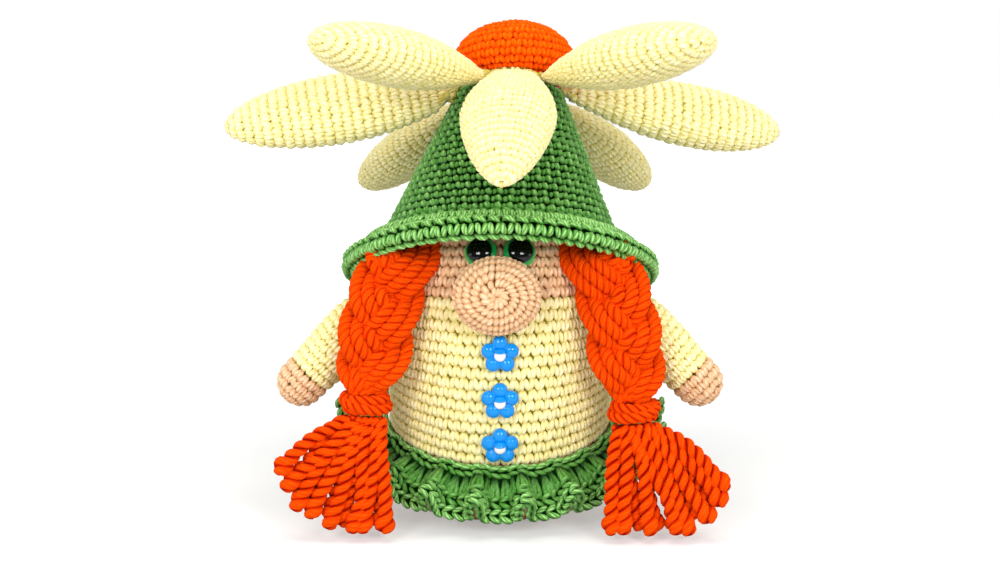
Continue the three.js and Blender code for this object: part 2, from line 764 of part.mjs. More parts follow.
/** The wrap of cord round a plait's neck. */
function tie(side) {
  const neck = neckAt(side);
  const inner = NECK_R + FIT;
  const steps = 8;
  const loop = Array.from({ length: steps }, (_, i) => {
    const angle = Math.PI + (2 * Math.PI * i) / steps;
    const bulge = (TIE_WALL / 2) * Math.cos(angle);
    return [inner + TIE_WALL / 2 + bulge, (TIE_H / 2) * Math.sin(angle) - TIE_H / 2];
  });
  const ring = turned([...loop, loop[0]], 18).scale(TIE_WIDEN, 1, 1);
  return solidOf(ring.translate(neck.x, neck.y, neck.z - FIT / 2));
}

function tasselHinge(side) {
  const drop = TIE_H + TASSEL_KNOT_R + FIT;
  return {
    point: neckAt(side).sub(new THREE.Vector3(0, 0, drop)),
    axis: new THREE.Vector3(-1, 0, 0),
  };
}

/** Loose cord ends that fan out from a round knot. */
function tassel(side, still) {
  const knot = tasselHinge(side).point;
  const spread = side < 0 ? TASSEL_SPREAD.left : TASSEL_SPREAD.right;
  const row = ({ count, inner, outer, forward, long, short }) =>
    Array.from({ length: count }, (_, i) => {
      const share = i / (count - 1);
      const fan = radians(lerp(inner, outer, share));
      const reach = lerp(long, short, share ** 2) * spread - CORD_R;
      const tipX = knot.x + side * reach * Math.sin(fan);
      const tipZ = Math.max(knot.z + CORD_R - reach * Math.cos(fan), CORD_R + FIT);
      const from = new THREE.Vector3(side * TASSEL_KNOT_R * Math.sin(fan), 0, TASSEL_KNOT_R / 2).add(knot);
      const tip = new THREE.Vector3(tipX, knot.y - forward * spread ** 2, tipZ);
      const rise = 1 + 2.2 * Math.max(fan, 0);
      const bend = from.clone().lerp(tip, 0.45).add(new THREE.Vector3(side * fan * 1.5, -1, rise));
      return tube([from, bend, tip], CORD_R, 5, 3);
    });
  const ball = solidOf(turned(
    ellipsoidProfile(TASSEL_KNOT_R, TASSEL_KNOT_R, TASSEL_KNOT_R, 8), SMALL_ROUND,
  ).translate(knot.x, knot.y, knot.z));
  const body = joined([ball, ...row(TASSEL_FRONT), ...row(TASSEL_BACK)]);
  return filled(clearOf(filled(body), still, tasselHinge(side), [TASSEL_FORWARD]));
}

// Assembly

const doll = new THREE.Group();
const hatSpace = crown(FIT).add(brim(FIT));
const skirt = ruffle();
const eyeSides = { left: -1, right: 1 };

const atEyes = (solid) => joined(
  Object.values(eyeSides).map((side) => moved(solid, dollEyeFrame(side))),
);
const stems = atEyes(stemSpace());
const eyeHeads = atEyes(eyeSpace());
doll.add(meshOf("base_cover", baseCover(), "skin"));
doll.add(meshOf("shirt_cover", shirt(), "cream"));
doll.add(meshOf("head_cover", headCover().subtract(stems), "skin"));
doll.add(meshOf("body_stuffing",
  bodyStuffing().subtract(stems).subtract(atEyes(washerSpace())), "fibre"));
doll.add(meshOf("skirt_ruffle", skirt, "green"));
doll.add(meshOf("hat_crown", crown(), "green"));
doll.add(meshOf("hat_brim", brim().subtract(joined([bodySpace, eyeHeads, nose(FIT)])), "green"));
doll.add(meshOf("hat_stuffing", hatStuffing(), "fibre"));
doll.add(meshOf("brim_bead", brimBead(), "black"));
doll.add(meshOf("daisy_middle", daisyMiddle(), "orange"));

const petalStop = daisyMiddle(FIT).add(hatSpace);
for (const spec of PETALS) {
  doll.add(meshOf(spec.name, petal(spec, petalStop), "cream"));
}

for (const [label, side] of Object.entries(eyeSides)) {
  const frame = dollEyeFrame(side);
  doll.add(meshOf(`eye_${label}`, moved(dollEye(), frame), "black"));
  doll.add(meshOf(`eye_washer_${label}`, moved(eyeWasher(), frame), "white"));
}
doll.add(meshOf("nose", nose().subtract(bodySpace).subtract(eyeHeads), "skin"));

for (const [name, h] of Object.entries(buttonHeights)) {
  doll.add(meshOf(name, button(h), "blue"));
  doll.add(meshOf(`${name}_bead`, moved(buttonBead(), buttonFrame(h)), "white"));
}

const bodyStop = joined([bodySpace, hatSpace]);
for (const [label, side] of Object.entries(eyeSides)) {
  const wrist = ARM_L - HAND_L;
  doll.add(meshOf(`arm_sleeve_${label}`, armStretch(side, 0, wrist, bodyStop), "cream"));
  doll.add(meshOf(`hand_${label}`, armStretch(side, wrist + FIT, ARM_L, bodyStop), "skin"));
  doll.add(meshOf(`plait_${label}`, plait(side, bodyStop), "hair"));
  doll.add(meshOf(`plait_tie_${label}`, tie(side), "hair"));
  doll.add(meshOf(`tassel_${label}`, tassel(side, skirt), "hair"));
}

export default doll;
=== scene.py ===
"""Finishes a crocheted gnome doll: its stitches, hair cords, plastic pieces and a plain studio.

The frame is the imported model's own, with +Z up and the face towards -Y. Sizes are millimetres up to
the last step of each mesh, and metres in every Blender object.
"""

import json
import logging
import math
from collections.abc import Callable, Sequence
from dataclasses import dataclass, field
from enum import Enum
from functools import cache
from typing import ClassVar

import bpy
import numpy as np
from mathutils import Matrix, Vector


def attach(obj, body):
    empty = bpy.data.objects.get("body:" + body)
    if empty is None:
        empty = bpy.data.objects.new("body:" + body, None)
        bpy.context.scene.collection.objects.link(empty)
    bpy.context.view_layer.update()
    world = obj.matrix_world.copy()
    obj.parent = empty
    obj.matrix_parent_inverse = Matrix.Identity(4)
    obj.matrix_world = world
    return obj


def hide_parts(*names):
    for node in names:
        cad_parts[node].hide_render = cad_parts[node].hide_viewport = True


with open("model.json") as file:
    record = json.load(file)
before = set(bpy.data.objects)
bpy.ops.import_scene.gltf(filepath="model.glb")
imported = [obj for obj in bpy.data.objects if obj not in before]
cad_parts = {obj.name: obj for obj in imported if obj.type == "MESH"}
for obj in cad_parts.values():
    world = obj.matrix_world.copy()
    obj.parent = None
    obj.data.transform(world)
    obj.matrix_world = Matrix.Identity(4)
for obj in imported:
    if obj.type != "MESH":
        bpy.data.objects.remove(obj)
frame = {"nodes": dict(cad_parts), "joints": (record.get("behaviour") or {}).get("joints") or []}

MM = 0.001
TAU = 2 * math.pi
SEED = 7
HANDS = (("left", -1), ("right", 1))
LEG_PLACES = 6
LEG_SIDES = 7
CORD_SIDES = 8
DEEPEST = 3.0
TIP_REACH = 0.6
TINT_SHIFT = 37.0
GROUND_STEP = 3.0
log = logging.getLogger("doll")

Array = np.ndarray
Values = np.ndarray | float
Piece = bpy.types.Object
Socket = bpy.types.NodeSocket
Material = bpy.types.Material


# Numbers and curves


class Axis(Enum):
    """The axes, each as the pair of others that a turn about it moves, in order."""

    X = (1, 2)
    Y = (2, 0)
    Z = (0, 1)


def rotation(axis: Axis, degrees: float) -> Array:
    """The 3 by 3 matrix of a turn about an axis."""
    first, second = axis.value
    turn = np.eye(3)
    turn[first, first] = turn[second, second] = math.cos(math.radians(degrees))
    turn[second, first] = math.sin(math.radians(degrees))
    turn[first, second] = -turn[second, first]
    return turn


def smoothstep(value: Values, low: float, high: float) -> Array:
    """The smooth rise from 0 at low to 1 at high."""
    share = np.clip((np.asarray(value, float) - low) / (high - low), 0, 1)
    return share * share * (3 - 2 * share)


def lerp(start: Values, end: Values, share: Values) -> Values:
    """The value a share of the way from start to end."""
    return start + (end - start) * share


def unit(vectors: Array) -> Array:
    """The vectors along the last axis at length 1."""
    return vectors / np.maximum(np.linalg.norm(vectors, axis=-1, keepdims=True), 1e-9)


def walked(path: Array) -> Array:
    """The length along a path up to each of its points."""
    return np.r_[0, np.cumsum(np.linalg.norm(np.diff(path, axis=0), axis=1))]


def resampled(points: Sequence[Sequence[float]], count: int) -> Array:
    """A count of places on a smooth curve through a few points, ends included."""
    knots = np.asarray(points, float)
    padded = np.vstack([2 * knots[0] - knots[1], knots, 2 * knots[-1] - knots[-2]])
    place = np.linspace(0, len(knots) - 1, count)
    first = np.minimum(place.astype(int), len(knots) - 2)
    t = (place - first)[:, None]
    a, b, c, d = (padded[first + k] for k in range(4))
    return 0.5 * (2 * b + (c - a) * t + (2 * a - 5 * b + 4 * c - d) * t**2 + (3 * b - a - 3 * c + d) * t**3)


def evenly(path: Array, count: int) -> Array:
    """A count of places evenly spaced by length along a path."""
    reach = walked(path)
    wanted = np.linspace(0, reach[-1], count)
    return np.stack([np.interp(wanted, reach, values) for values in path.T], axis=1)


def aimed(direction: Sequence[float]) -> Array:
    """The shortest turn, as a 3 by 3 matrix, that takes +Z to a direction."""
    return np.array(Vector((0, 0, 1)).rotation_difference(Vector(direction)).to_matrix())


def joint(name: str) -> tuple[Array, list[Array]]:
    """Where a joint turns, in millimetres, and its 3 by 3 turns at its lower and upper limits."""
    row = next(row for row in frame["joints"] if row["name"] == name)
    axis = Vector(row["axis"])
    turns = [np.array(Matrix.Rotation(math.radians(angle), 3, axis)) for angle in row["range_deg"]]
    return np.array(row["pos_m"]) / MM, turns


def linear(shade: str) -> tuple[float, float, float, float]:
    """A colour written as six hex digits, in the renderer's linear values."""
    parts = [int(shade[i : i + 2], 16) / 255 for i in (0, 2, 4)]
    return (*(p / 12.92 if p <= 0.04045 else ((p + 0.055) / 1.055) ** 2.4 for p in parts), 1.0)


# Shaders


class ShaderTree:
    """Short calls that add and join the nodes of one tree."""

    def __init__(self, tree: bpy.types.NodeTree) -> None:
        """Keeps the tree, emptied of the nodes that it comes with."""
        self.tree = tree
        tree.nodes.clear()

    def feed(self, socket: Socket, value: object) -> None:
        """Links an output to a socket, or sets the socket to a plain value."""
        if isinstance(value, Socket):
            self.tree.links.new(value, socket)
        else:
            socket.default_value = value

    def node(self, kind: str, fed: dict[str | int, object], **settings: object) -> bpy.types.Node:
        """Adds a node.

        Args:
            kind: The node's type, as Blender names it after "ShaderNode".
            fed: Outputs or plain values for its inputs, by name or number.
            settings: Its own properties, by name.

        Returns:
            The new node.
        """
        made = self.tree.nodes.new(f"ShaderNode{kind}")
        for name, value in settings.items():
            setattr(made, name, value)
        for key, value in fed.items():
            self.feed(made.inputs[key], value)
        return made

    def math(self, operation: str, *values: object) -> Socket:
        """Adds a Math node on values or outputs, and gives its output."""
        return self.node("Math", dict(enumerate(values)), operation=operation).outputs[0]

    def mix(self, factor: object, first: object, second: object) -> Socket:
        """Adds a colour Mix node and gives its output."""
        made = self.node("Mix", {0: factor}, data_type="RGBA")
        colours = [socket for socket in made.inputs if socket.type == "RGBA"]
        self.feed(colours[0], first)
        self.feed(colours[1], second)
        return next(socket for socket in made.outputs if socket.type == "RGBA")

    def remap(self, value: object, low: float, high: float, to_low: float, to_high: float) -> Socket:
        """Adds a clamped Map Range node and gives its output."""
        names = ("Value", "From Min", "From Max", "To Min", "To Max")
        return self.node("MapRange", dict(zip(names, (value, low, high, to_low, to_high)))).outputs["Result"]

    def noise(self, vector: object, scale: float, detail: float) -> Socket:
        """Adds a Noise Texture and gives its value."""
        return self.node("TexNoise", {"Vector": vector, "Scale": scale, "Detail": detail}).outputs["Fac"]

    def scaled(self, colour: object, tone: object) -> Socket:
        """Adds a node that multiplies a colour by a tone, and gives its output."""
        return self.node("VectorMath", {"Scale": tone, 0: colour}, operation="SCALE").outputs[0]

    def bump(self, height: object, strength: float, distance: float) -> Socket:
        """Adds a Bump node on a height, and gives its normal."""
        return self.node("Bump", {"Strength": strength, "Distance": distance, "Height": height}).outputs[0]

    def attribute(self, name: str, output: str) -> Socket:
        """Reads a value that the mesh keeps at its points."""
        return self.node("Attribute", {}, attribute_name=name).outputs[output]

    def group(self, tree: bpy.types.NodeTree, **values: float) -> bpy.types.bpy_prop_collection:
        """Places a node group with its own values, and gives its outputs."""
        return self.node("Group", values, node_tree=tree).outputs

    def surface(self, fed: dict[str, object]) -> None:
        """Adds the surface's shader and leads it to the material's output."""
        self.node("OutputMaterial", {"Surface": self.node("BsdfPrincipled", fed).outputs["BSDF"]})


def new_material(name: str) -> tuple[Material, ShaderTree]:
    """Starts a material, and gives it with calls on its emptied tree."""
    made = bpy.data.materials.new(name)
    made.use_nodes = True
    return made, ShaderTree(made.node_tree)


def node_group(
    name: str, inputs: dict[str, float], fill: Callable[..., dict[str, Socket]]
) -> bpy.types.NodeTree:
    """Builds a shader node group of plain values.

    Args:
        name: The group's name.
        inputs: Its inputs and their usual values.
        fill: Adds the nodes, given a ShaderTree and the inputs by name, and gives the outputs by name.

    Returns:
        The group's tree.
    """
    tree = bpy.data.node_groups.new(name, "ShaderNodeTree")
    for label, value in inputs.items():
        socket = tree.interface.new_socket(label, in_out="INPUT", socket_type="NodeSocketFloat")
        socket.default_value = value
    shader = ShaderTree(tree)
    entry = tree.nodes.new("NodeGroupInput")
    results = fill(shader, {label: entry.outputs[label] for label in inputs})
    for label in results:
        tree.interface.new_socket(label, in_out="OUTPUT", socket_type="NodeSocketFloat")
    leave = tree.nodes.new("NodeGroupOutput")
    for label, value in results.items():
        shader.feed(leave.inputs[label], value)
    return tree


@cache
def twisted_yarn_group() -> bpy.types.NodeTree:
    """The group for plies laid round a yarn, with fibres along them.

    It reads the mesh's "yarn" values: cosine and sine round the yarn, and millimetres along it.
    """

    def fill(shader: ShaderTree, given: dict[str, Socket]) -> dict[str, Socket]:
        """Adds the nodes that find where a point lies on its ply."""
        yarn = shader.node("SeparateXYZ", {0: shader.attribute("yarn", "Vector")}).outputs
        turns = shader.math("MULTIPLY", shader.math("DIVIDE", yarn["Z"], given["Lay"]), TAU)
        twist = shader.math("ADD", shader.math("ARCTAN2", yarn["Y"], yarn["X"]), turns)
        wave = shader.math("MULTIPLY", shader.math("MULTIPLY", twist, given["Plies"]), 0.5)
        crown = shader.math("ABSOLUTE", shader.math("SINE", wave))
        place = shader.node("CombineXYZ", {
            "X": shader.math("COSINE", twist),
            "Y": shader.math("SINE", twist),
            "Z": shader.math("MULTIPLY", yarn["Z"], 0.16),
        })
        fibre = shader.noise(place.outputs[0], 5.0, 3.0)
        ripple = shader.math("MULTIPLY", shader.math("SUBTRACT", fibre, 0.5), given["Fibre"])
        return {"Crown": crown, "Fibre": fibre, "Height": shader.math("ADD", crown, ripple)}

    return node_group("Twisted yarn", {"Plies": 4.0, "Lay": 5.0, "Fibre": 0.6}, fill)


@cache
def cloud_group() -> bpy.types.NodeTree:
    """The group for slow changes of tone over a piece, with a finer speck in them."""

    def fill(shader: ShaderTree, given: dict[str, Socket]) -> dict[str, Socket]:
        """Adds two noises, one wide and one fine, on the piece's own coordinates."""
        place = shader.node("TexCoord", {}).outputs["Object"]
        wide = shader.noise(place, 55.0, 2.0)
        fine = shader.noise(place, 900.0, 3.0)
        blend = shader.math("ADD", shader.math("MULTIPLY", wide, 0.65), shader.math("MULTIPLY", fine, 0.35))
        change = shader.math("MULTIPLY", shader.math("SUBTRACT", blend, 0.5), given["Amount"])
        return {"Tone": shader.math("ADD", change, 1.0), "Speck": fine}

    return node_group("Tone clouds", {"Amount": 0.2}, fill)


def clouded(
    name: str, shade: str, clouding: float, bump: Sequence[float], fed: dict[str, float], uneven: float = 0.0
) -> Material:
    """Builds a material of one colour, with clouds of tone and a speckled bump.

    Args:
        name: The material's name.
        shade: Its colour.
        clouding: How far its tone changes.
        bump: The bump's strength, and its distance in metres.
        fed: The shader's other values, its roughness among them.
        uneven: How much the roughness grows with the specks.

    Returns:
        The material.
    """
    made, shader = new_material(name)
    cloud = shader.group(cloud_group(), Amount=clouding)
    rough = fed["Roughness"]
    shader.surface({
        **fed,
        "Base Color": shader.scaled(linear(shade)[:3], cloud["Tone"]),
        "Roughness": shader.remap(cloud["Speck"], 0.3, 0.7, rough, rough + uneven) if uneven else rough,
        "Normal": shader.bump(cloud["Speck"], *bump),
    })
    return made


@dataclass(frozen=True)
class YarnFinish:
    """Cotton yarn with painted light: a painted highlight where it stands proud, and painted shade down
    between the loops and in its ply grooves.
    """

    name: str
    slot: str
    shade: str
    # deep: the painted shade colour, mixed in where the yarn lies deep between loops and in its ply grooves.
    deep: str
    # lit: the painted highlight colour, laid on proud ply crowns.
    lit: str
    # between: the painted shade colour of the dark ground behind the loops and of the skirt's cloth.
    between: str
    roughness: float = 0.72
    sheen: float = 0.03
    gloss: float = 0.22
    plies: float = 5.0
    lay: float = 12.0
    bump: float = 0.5
    # The depths, as shares of DEEPEST, over which the painted highlight fades out and the painted shade
    # grows in.
    depth_start: float = 0.2
    depth_end: float = 0.6
    # How much painted shade darkens the grooves between the plies.
    groove_shade: float = 0.12
    # How far the painted highlight follows the ply crowns rather than lying evenly on proud yarn.
    ply_light: float = 1.0

    @cache
    def material(self) -> Material:
        """The yarn's material, built once, with its painted highlight and painted shade."""
        made, shader = new_material(self.name)
        twist = shader.group(twisted_yarn_group(), Plies=self.plies, Lay=self.lay)
        cloud = shader.group(cloud_group(), Amount=0.16)
        depth = shader.attribute("depth", "Fac")
        streak = shader.math("MULTIPLY", shader.remap(twist["Fibre"], 0.3, 0.7, 0.0, 1.0), 0.5)
        # Painted highlight: the lit colour goes on ply crowns that stand proud of the fabric, streaked along
        # the fibres, with each length's own random tone added.
        proud = shader.remap(depth, 0.0, self.depth_start, 1.0, 0.0)
        crown = shader.remap(twist["Crown"], 0.3, 0.95, 1.0 - self.ply_light, 1.0)
        crown_highlight = shader.math("MULTIPLY", crown, proud)
        highlight_share = shader.math("MULTIPLY", crown_highlight, shader.math("ADD", streak, 0.4))
        own = shader.math("MULTIPLY", shader.attribute("tint", "Fac"), 0.25)
        face = shader.mix(shader.math("ADD", highlight_share, own), linear(self.shade), linear(self.lit))
        # Painted shade: the deep colour grows with depth under the fabric's face and in the grooves between
        # plies.
        hollow_shade = shader.remap(depth, self.depth_start, self.depth_end, 0.0, 1.0)
        ply_groove_shade = shader.remap(twist["Crown"], 0.0, 0.5, self.groove_shade, 0.0)
        colour = shader.mix(shader.math("MAXIMUM", hollow_shade, ply_groove_shade), face, linear(self.deep))
        shader.surface({
            "Base Color": shader.scaled(colour, cloud["Tone"]),
            "Roughness": shader.remap(twist["Fibre"], 0.3, 0.7, self.roughness + 0.1, self.roughness - 0.06),
            "Normal": shader.bump(twist["Height"], self.bump, 0.00035),
            "Sheen Weight": self.sheen,
            "Sheen Roughness": 0.45,
            "Specular IOR Level": self.gloss,
        })
        return made

    @cache
    def ground(self) -> Material:
        """The material of painted shade seen only between loops, on the dark ground behind them, built once.
        """
        fed = {"Roughness": 0.9, "Specular IOR Level": 0.05}
        return clouded(f"{self.name} ground", self.between, 0.7, (0.6, 0.0004), fed)


@dataclass(frozen=True)
class PlasticFinish:
    """Moulded plastic, with the faint unevenness of a small moulding."""

    name: str
    slot: str
    shade: str
    roughness: float
    coat: float = 0.6
    gloss: float = 0.5

    @cache
    def material(self) -> Material:
        """The plastic's material, built once."""
        fed = {
            "Roughness": self.roughness, "Specular IOR Level": self.gloss,
            "Coat Weight": self.coat, "Coat Roughness": 0.05,
        }
        return clouded(self.name, self.shade, 0.12, (0.12, 0.0001), fed, uneven=0.06)


@dataclass(frozen=True)
class EyeFinish:
    """A black pupil in a green metallic-looking ring, under one clear dome."""

    name: str = "Eye plastic"
    slot: str = "eye_plastic"
    pupil: str = "050505"
    ring: str = "22cc62"
    ring_dark: str = "086032"
    pupil_edge: float = 0.76

    @cache
    def material(self) -> Material:
        """The eye's material, which reads how far out from the middle a point lies."""
        made, shader = new_material(self.name)
        rim = shader.attribute("rim", "Fac")
        cloud = shader.group(cloud_group(), Amount=0.5)
        glow = shader.remap(rim, self.pupil_edge, 0.93, 0.0, 1.0)
        lit = shader.math("MULTIPLY", glow, shader.remap(rim, 0.95, 1.0, 1.0, 0.35))
        green = shader.scaled(shader.mix(lit, linear(self.ring_dark), linear(self.ring)), cloud["Tone"])
        outside = shader.remap(rim, self.pupil_edge - 0.01, self.pupil_edge + 0.01, 0.0, 1.0)
        shader.surface({
            "Base Color": shader.mix(outside, linear(self.pupil), green),
            "Roughness": shader.remap(outside, 0.0, 1.0, 0.06, 0.2),
            "Specular IOR Level": 0.15,
            "Coat Weight": 0.6,
            "Coat Roughness": 0.03,
        })
        return made


@dataclass(frozen=True)
class FibreFinish:
    """Loose polyester stuffing, matt and cloudy."""

    name: str = "Stuffing fibre"
    shade: str = "f1f0ea"

    @cache
    def material(self) -> Material:
        """The stuffing's material, built once."""
        return clouded(self.name, self.shade, 0.3, (1.0, 0.001), {"Roughness": 1.0, "Sheen Weight": 0.6})


# Each yarn: its own colour, then the painted shade colour deep between loops, the painted highlight colour
# for proud ply crowns, and the painted shade colour of the ground behind the loops.
CREAM = YarnFinish("Cream yarn", "cream_yarn", "f8ea9e", "d3c45c", "fffce4", "948a34")
SKIN = YarnFinish("Skin yarn", "skin_yarn", "e8b888", "b07844", "fde6c8", "6c4420")
GREEN = YarnFinish(
    "Green yarn", "green_yarn", "468f24", "063c02", "aee48a", "032001", roughness=0.5, sheen=0.0,
    gloss=0.4, depth_start=0.16, depth_end=0.52, groove_shade=0.2,
)
ORANGE = YarnFinish(
    "Orange yarn", "orange_yarn", "ff5200", "c62a00", "ff7e10", "7a1200", sheen=0.0, gloss=0.02
)
HAIR = YarnFinish(
    "Hair yarn", "hair_yarn", "c41c00", "840600", "f65404", "7a0c00", roughness=0.9, sheen=0.0,
    gloss=0.03, plies=7.0, lay=60.0, bump=0.3, depth_start=0.16, depth_end=0.42, groove_shade=0.06,
    ply_light=0.3,
)
BLUE_PLASTIC = PlasticFinish("Blue plastic", "blue_plastic", "008ce4", 0.05, coat=0.35, gloss=0.25)
WHITE_BEAD = PlasticFinish("White bead", "white_bead", "f4f4f0", 0.2)
BLACK_BEAD = PlasticFinish("Black bead", "black_bead", "0a0a0a", 0.1)
WASHER_PLASTIC = PlasticFinish("Washer plastic", "washer_plastic", "e4e6e4", 0.4, coat=0.1)
EYE_PLASTIC = EyeFinish()
STUFFING = FibreFinish()


# Meshes


def skin_faces(rows: int, across: int, looped: bool = False) -> list[Array]:
    """The faces of a skin over rings of points, whose ends close on two further points."""
    ring = np.arange(across)
    following = (ring + 1) % across
    row = np.arange(rows if looped else rows - 1)[:, None]
    near, far = row * across, (row + 1) % rows * across
    wall = np.stack([near + ring, near + following, far + following, far + ring], axis=2).reshape(-1, 4)
    if looped:
        return [wall]
    last = (rows - 1) * across
    low = np.stack([following, ring, np.full(across, rows * across)], axis=1)
    high = np.stack([last + ring, last + following, np.full(across, rows * across + 1)], axis=1)
    return [wall, np.vstack([low, high])]


def yarn_places(across: int, along: Array) -> Array:
    """The cosine and sine round a yarn and the place along it, for each point of its rings."""
    angle = TAU * np.arange(across) / across
    return np.stack(np.broadcast_arrays(np.cos(angle), np.sin(angle), along[..., None]), axis=-1)


def turned(profile: Array, across: int) -> Array:
    """Rings of points from a profile of radii and heights turned round +Z."""
    turn = TAU * np.arange(across) / across
    radius, height = profile[:, :1], profile[:, 1:]
    return np.stack([radius * np.sin(turn), -radius * np.cos(turn), height * np.ones(across)], axis=-1)


def ball(centre: Array, radius: float, flat: float = 1.0) -> Array:
    """Rings of points over a round or flattened ball."""
    angle = np.linspace(-math.pi / 2, math.pi / 2, 15)[1:-1]
    return turned(radius * np.stack([np.cos(angle), flat * np.sin(angle)], axis=1), 24) + centre


def egg(radius: float, sink: float, rise: float) -> Array:
    """The profile of a flattened ball, from its foot to its top."""
    angle = np.linspace(-math.pi / 2, math.pi / 2, 90)
    profile = np.stack([radius * np.cos(angle), np.where(angle < 0, sink, rise) * np.sin(angle)], axis=1)
    profile[[0, -1], 0] = 0.0
    return profile


class YarnMesh:
    """Gathers lengths of yarn and plain shells, in millimetres, and makes one object of them."""

    def __init__(self) -> None:
        """Starts empty."""
        self.rows: list[Array] = []
        self.faces: list[tuple[Array, int]] = []
        self.count = 0

    def _add(self, columns: Sequence[Array], faces: Sequence[Array], slot: int) -> None:
        """Keeps points with their values, and faces whose corners count from the first of them."""
        self.faces += [(group + self.count, slot) for group in faces]
        self.rows.append(np.column_stack(columns))
        self.count += len(self.rows[-1])

    def tubes(
        self, paths: Array, radii: Array, outs: Array, depth: Array, tint: Array, sides: int = LEG_SIDES
    ) -> None:
        """Adds round lengths of yarn, each closed at both ends.

        Args:
            paths: Centre lines, as (tubes, places, 3).
            radii: Radius at each place, as (tubes, places).
            outs: Direction away from the fabric at each place, as (tubes, places, 3).
            depth: How deep each place's centre lies under the fabric's face, in millimetres; the yarn's
                material paints shade from it.
            tint: One value a tube, 0 to 1, for its own tone.
            sides: Points round a tube.
        """
        tubes, places = radii.shape

        def joined(around: Array, ends: Array, width: int) -> Array:
            """Lists the values of each tube's rings and then those of its two tips."""
            parts = [values.reshape(tubes, -1, width) for values in (around, ends)]
            return np.concatenate(parts, axis=1).reshape(-1, width)

        along = unit(np.gradient(paths, axis=1))
        side = unit(np.cross(along, outs))
        up = np.cross(side, along)
        angle = TAU * np.arange(sides) / sides
        spread = side[:, :, None] * np.cos(angle)[:, None] + up[:, :, None] * np.sin(angle)[:, None]
        rings = paths[:, :, None] + spread * radii[:, :, None, None]
        ends = [0, -1]
        tips = paths[:, ends] + along[:, ends] * radii[:, ends, None] * np.array([[-TIP_REACH], [TIP_REACH]])
        steps = np.linalg.norm(np.diff(paths, axis=1), axis=2)
        reach = np.cumsum(np.pad(steps, ((0, 0), (1, 0))), axis=1) + tint[:, None] * TINT_SHIFT
        tip_yarn = np.stack(np.broadcast_arrays(1.0, 0.0, reach[:, ends]), axis=-1)
        # Points on a tube's inner side count deeper, so the material paints shade there.
        lift = radii * np.sum(up * outs, axis=2)
        deep = depth[:, :, None] - lift[:, :, None] * np.sin(angle)
        each = places * sides + 2
        columns = (
            joined(rings, tips, 3), joined(yarn_places(sides, reach), tip_yarn, 3),
            joined(deep, depth[:, ends], 1), np.repeat(tint, each),
        )
        first = each * np.arange(tubes)[:, None, None]
        faces = [(group[None] + first).reshape(-1, group.shape[1]) for group in skin_faces(places, sides)]
        self._add(columns, faces, 0)

    def surface(self, rings: Array, looped: bool = False, slot: int = 0, depth: float = 0.0) -> None:
        """Adds a closed skin over rings of points.

        Args:
            rings: Points as (rings, points round, 3), each ring counted as turn grows.
            looped: True if the last ring joins the first, and False to close both ends.
            slot: The material slot.
            depth: The depth value that the skin's points keep.
        """
        rows, across = rings.shape[:2]
        ends = np.empty((0, 3)) if looped else np.stack([rings[0].mean(0), rings[-1].mean(0)])
        points = np.vstack([rings.reshape(-1, 3), ends])
        yarn = np.vstack([yarn_places(across, np.arange(rows)).reshape(-1, 3), np.zeros_like(ends)])
        columns = (points, yarn, np.full(len(points), depth), np.full(len(points), 0.5))
        self._add(columns, skin_faces(rows, across, looped), slot)

    def build(self, name: str, *materials: Material) -> Piece:
        """Makes the object, in metres, and presses flat what would reach under the floor."""
        rows = np.concatenate(self.rows)
        points = rows[:, :3] * MM
        points[:, 2] = np.maximum(points[:, 2], 0.0)
        corners = np.concatenate([group.ravel() for group, _ in self.faces])
        sizes = np.concatenate([np.full(len(group), group.shape[1]) for group, _ in self.faces])
        slots = np.concatenate([np.full(len(group), slot) for group, slot in self.faces])
        mesh = bpy.data.meshes.new(name)
        mesh.vertices.add(len(points))
        mesh.loops.add(len(corners))
        mesh.polygons.add(len(sizes))
        mesh.vertices.foreach_set("co", points.astype(np.float32).ravel())
        mesh.loops.foreach_set("vertex_index", corners.astype(np.int32))
        mesh.polygons.foreach_set("loop_start", (np.cumsum(sizes) - sizes).astype(np.int32))
        mesh.polygons.foreach_set("material_index", slots.astype(np.int32))
        mesh.polygons.foreach_set("use_smooth", np.ones(len(sizes), bool))
        mesh.update(calc_edges=True)
        keep(mesh, "yarn", rows[:, 3:6])
        # The depth as a share of DEEPEST, from which the yarn's material paints shade and highlight.
        keep(mesh, "depth", np.clip(rows[:, 6] / DEEPEST, 0, 1))
        keep(mesh, "tint", rows[:, 7])
        for material in materials:
            mesh.materials.append(material)
        made = bpy.data.objects.new(name, mesh)
        bpy.context.scene.collection.objects.link(made)
        return made


def keep(mesh: bpy.types.Mesh, name: str, values: Array) -> None:
    """Stores one number or vector a point on the mesh under a name."""
    kind, key = ("FLOAT", "value") if values.ndim == 1 else ("FLOAT_VECTOR", "vector")
    mesh.attributes.new(name, kind, "POINT").data.foreach_set(key, values.astype(np.float32).ravel())


# Forms that stitches lie on


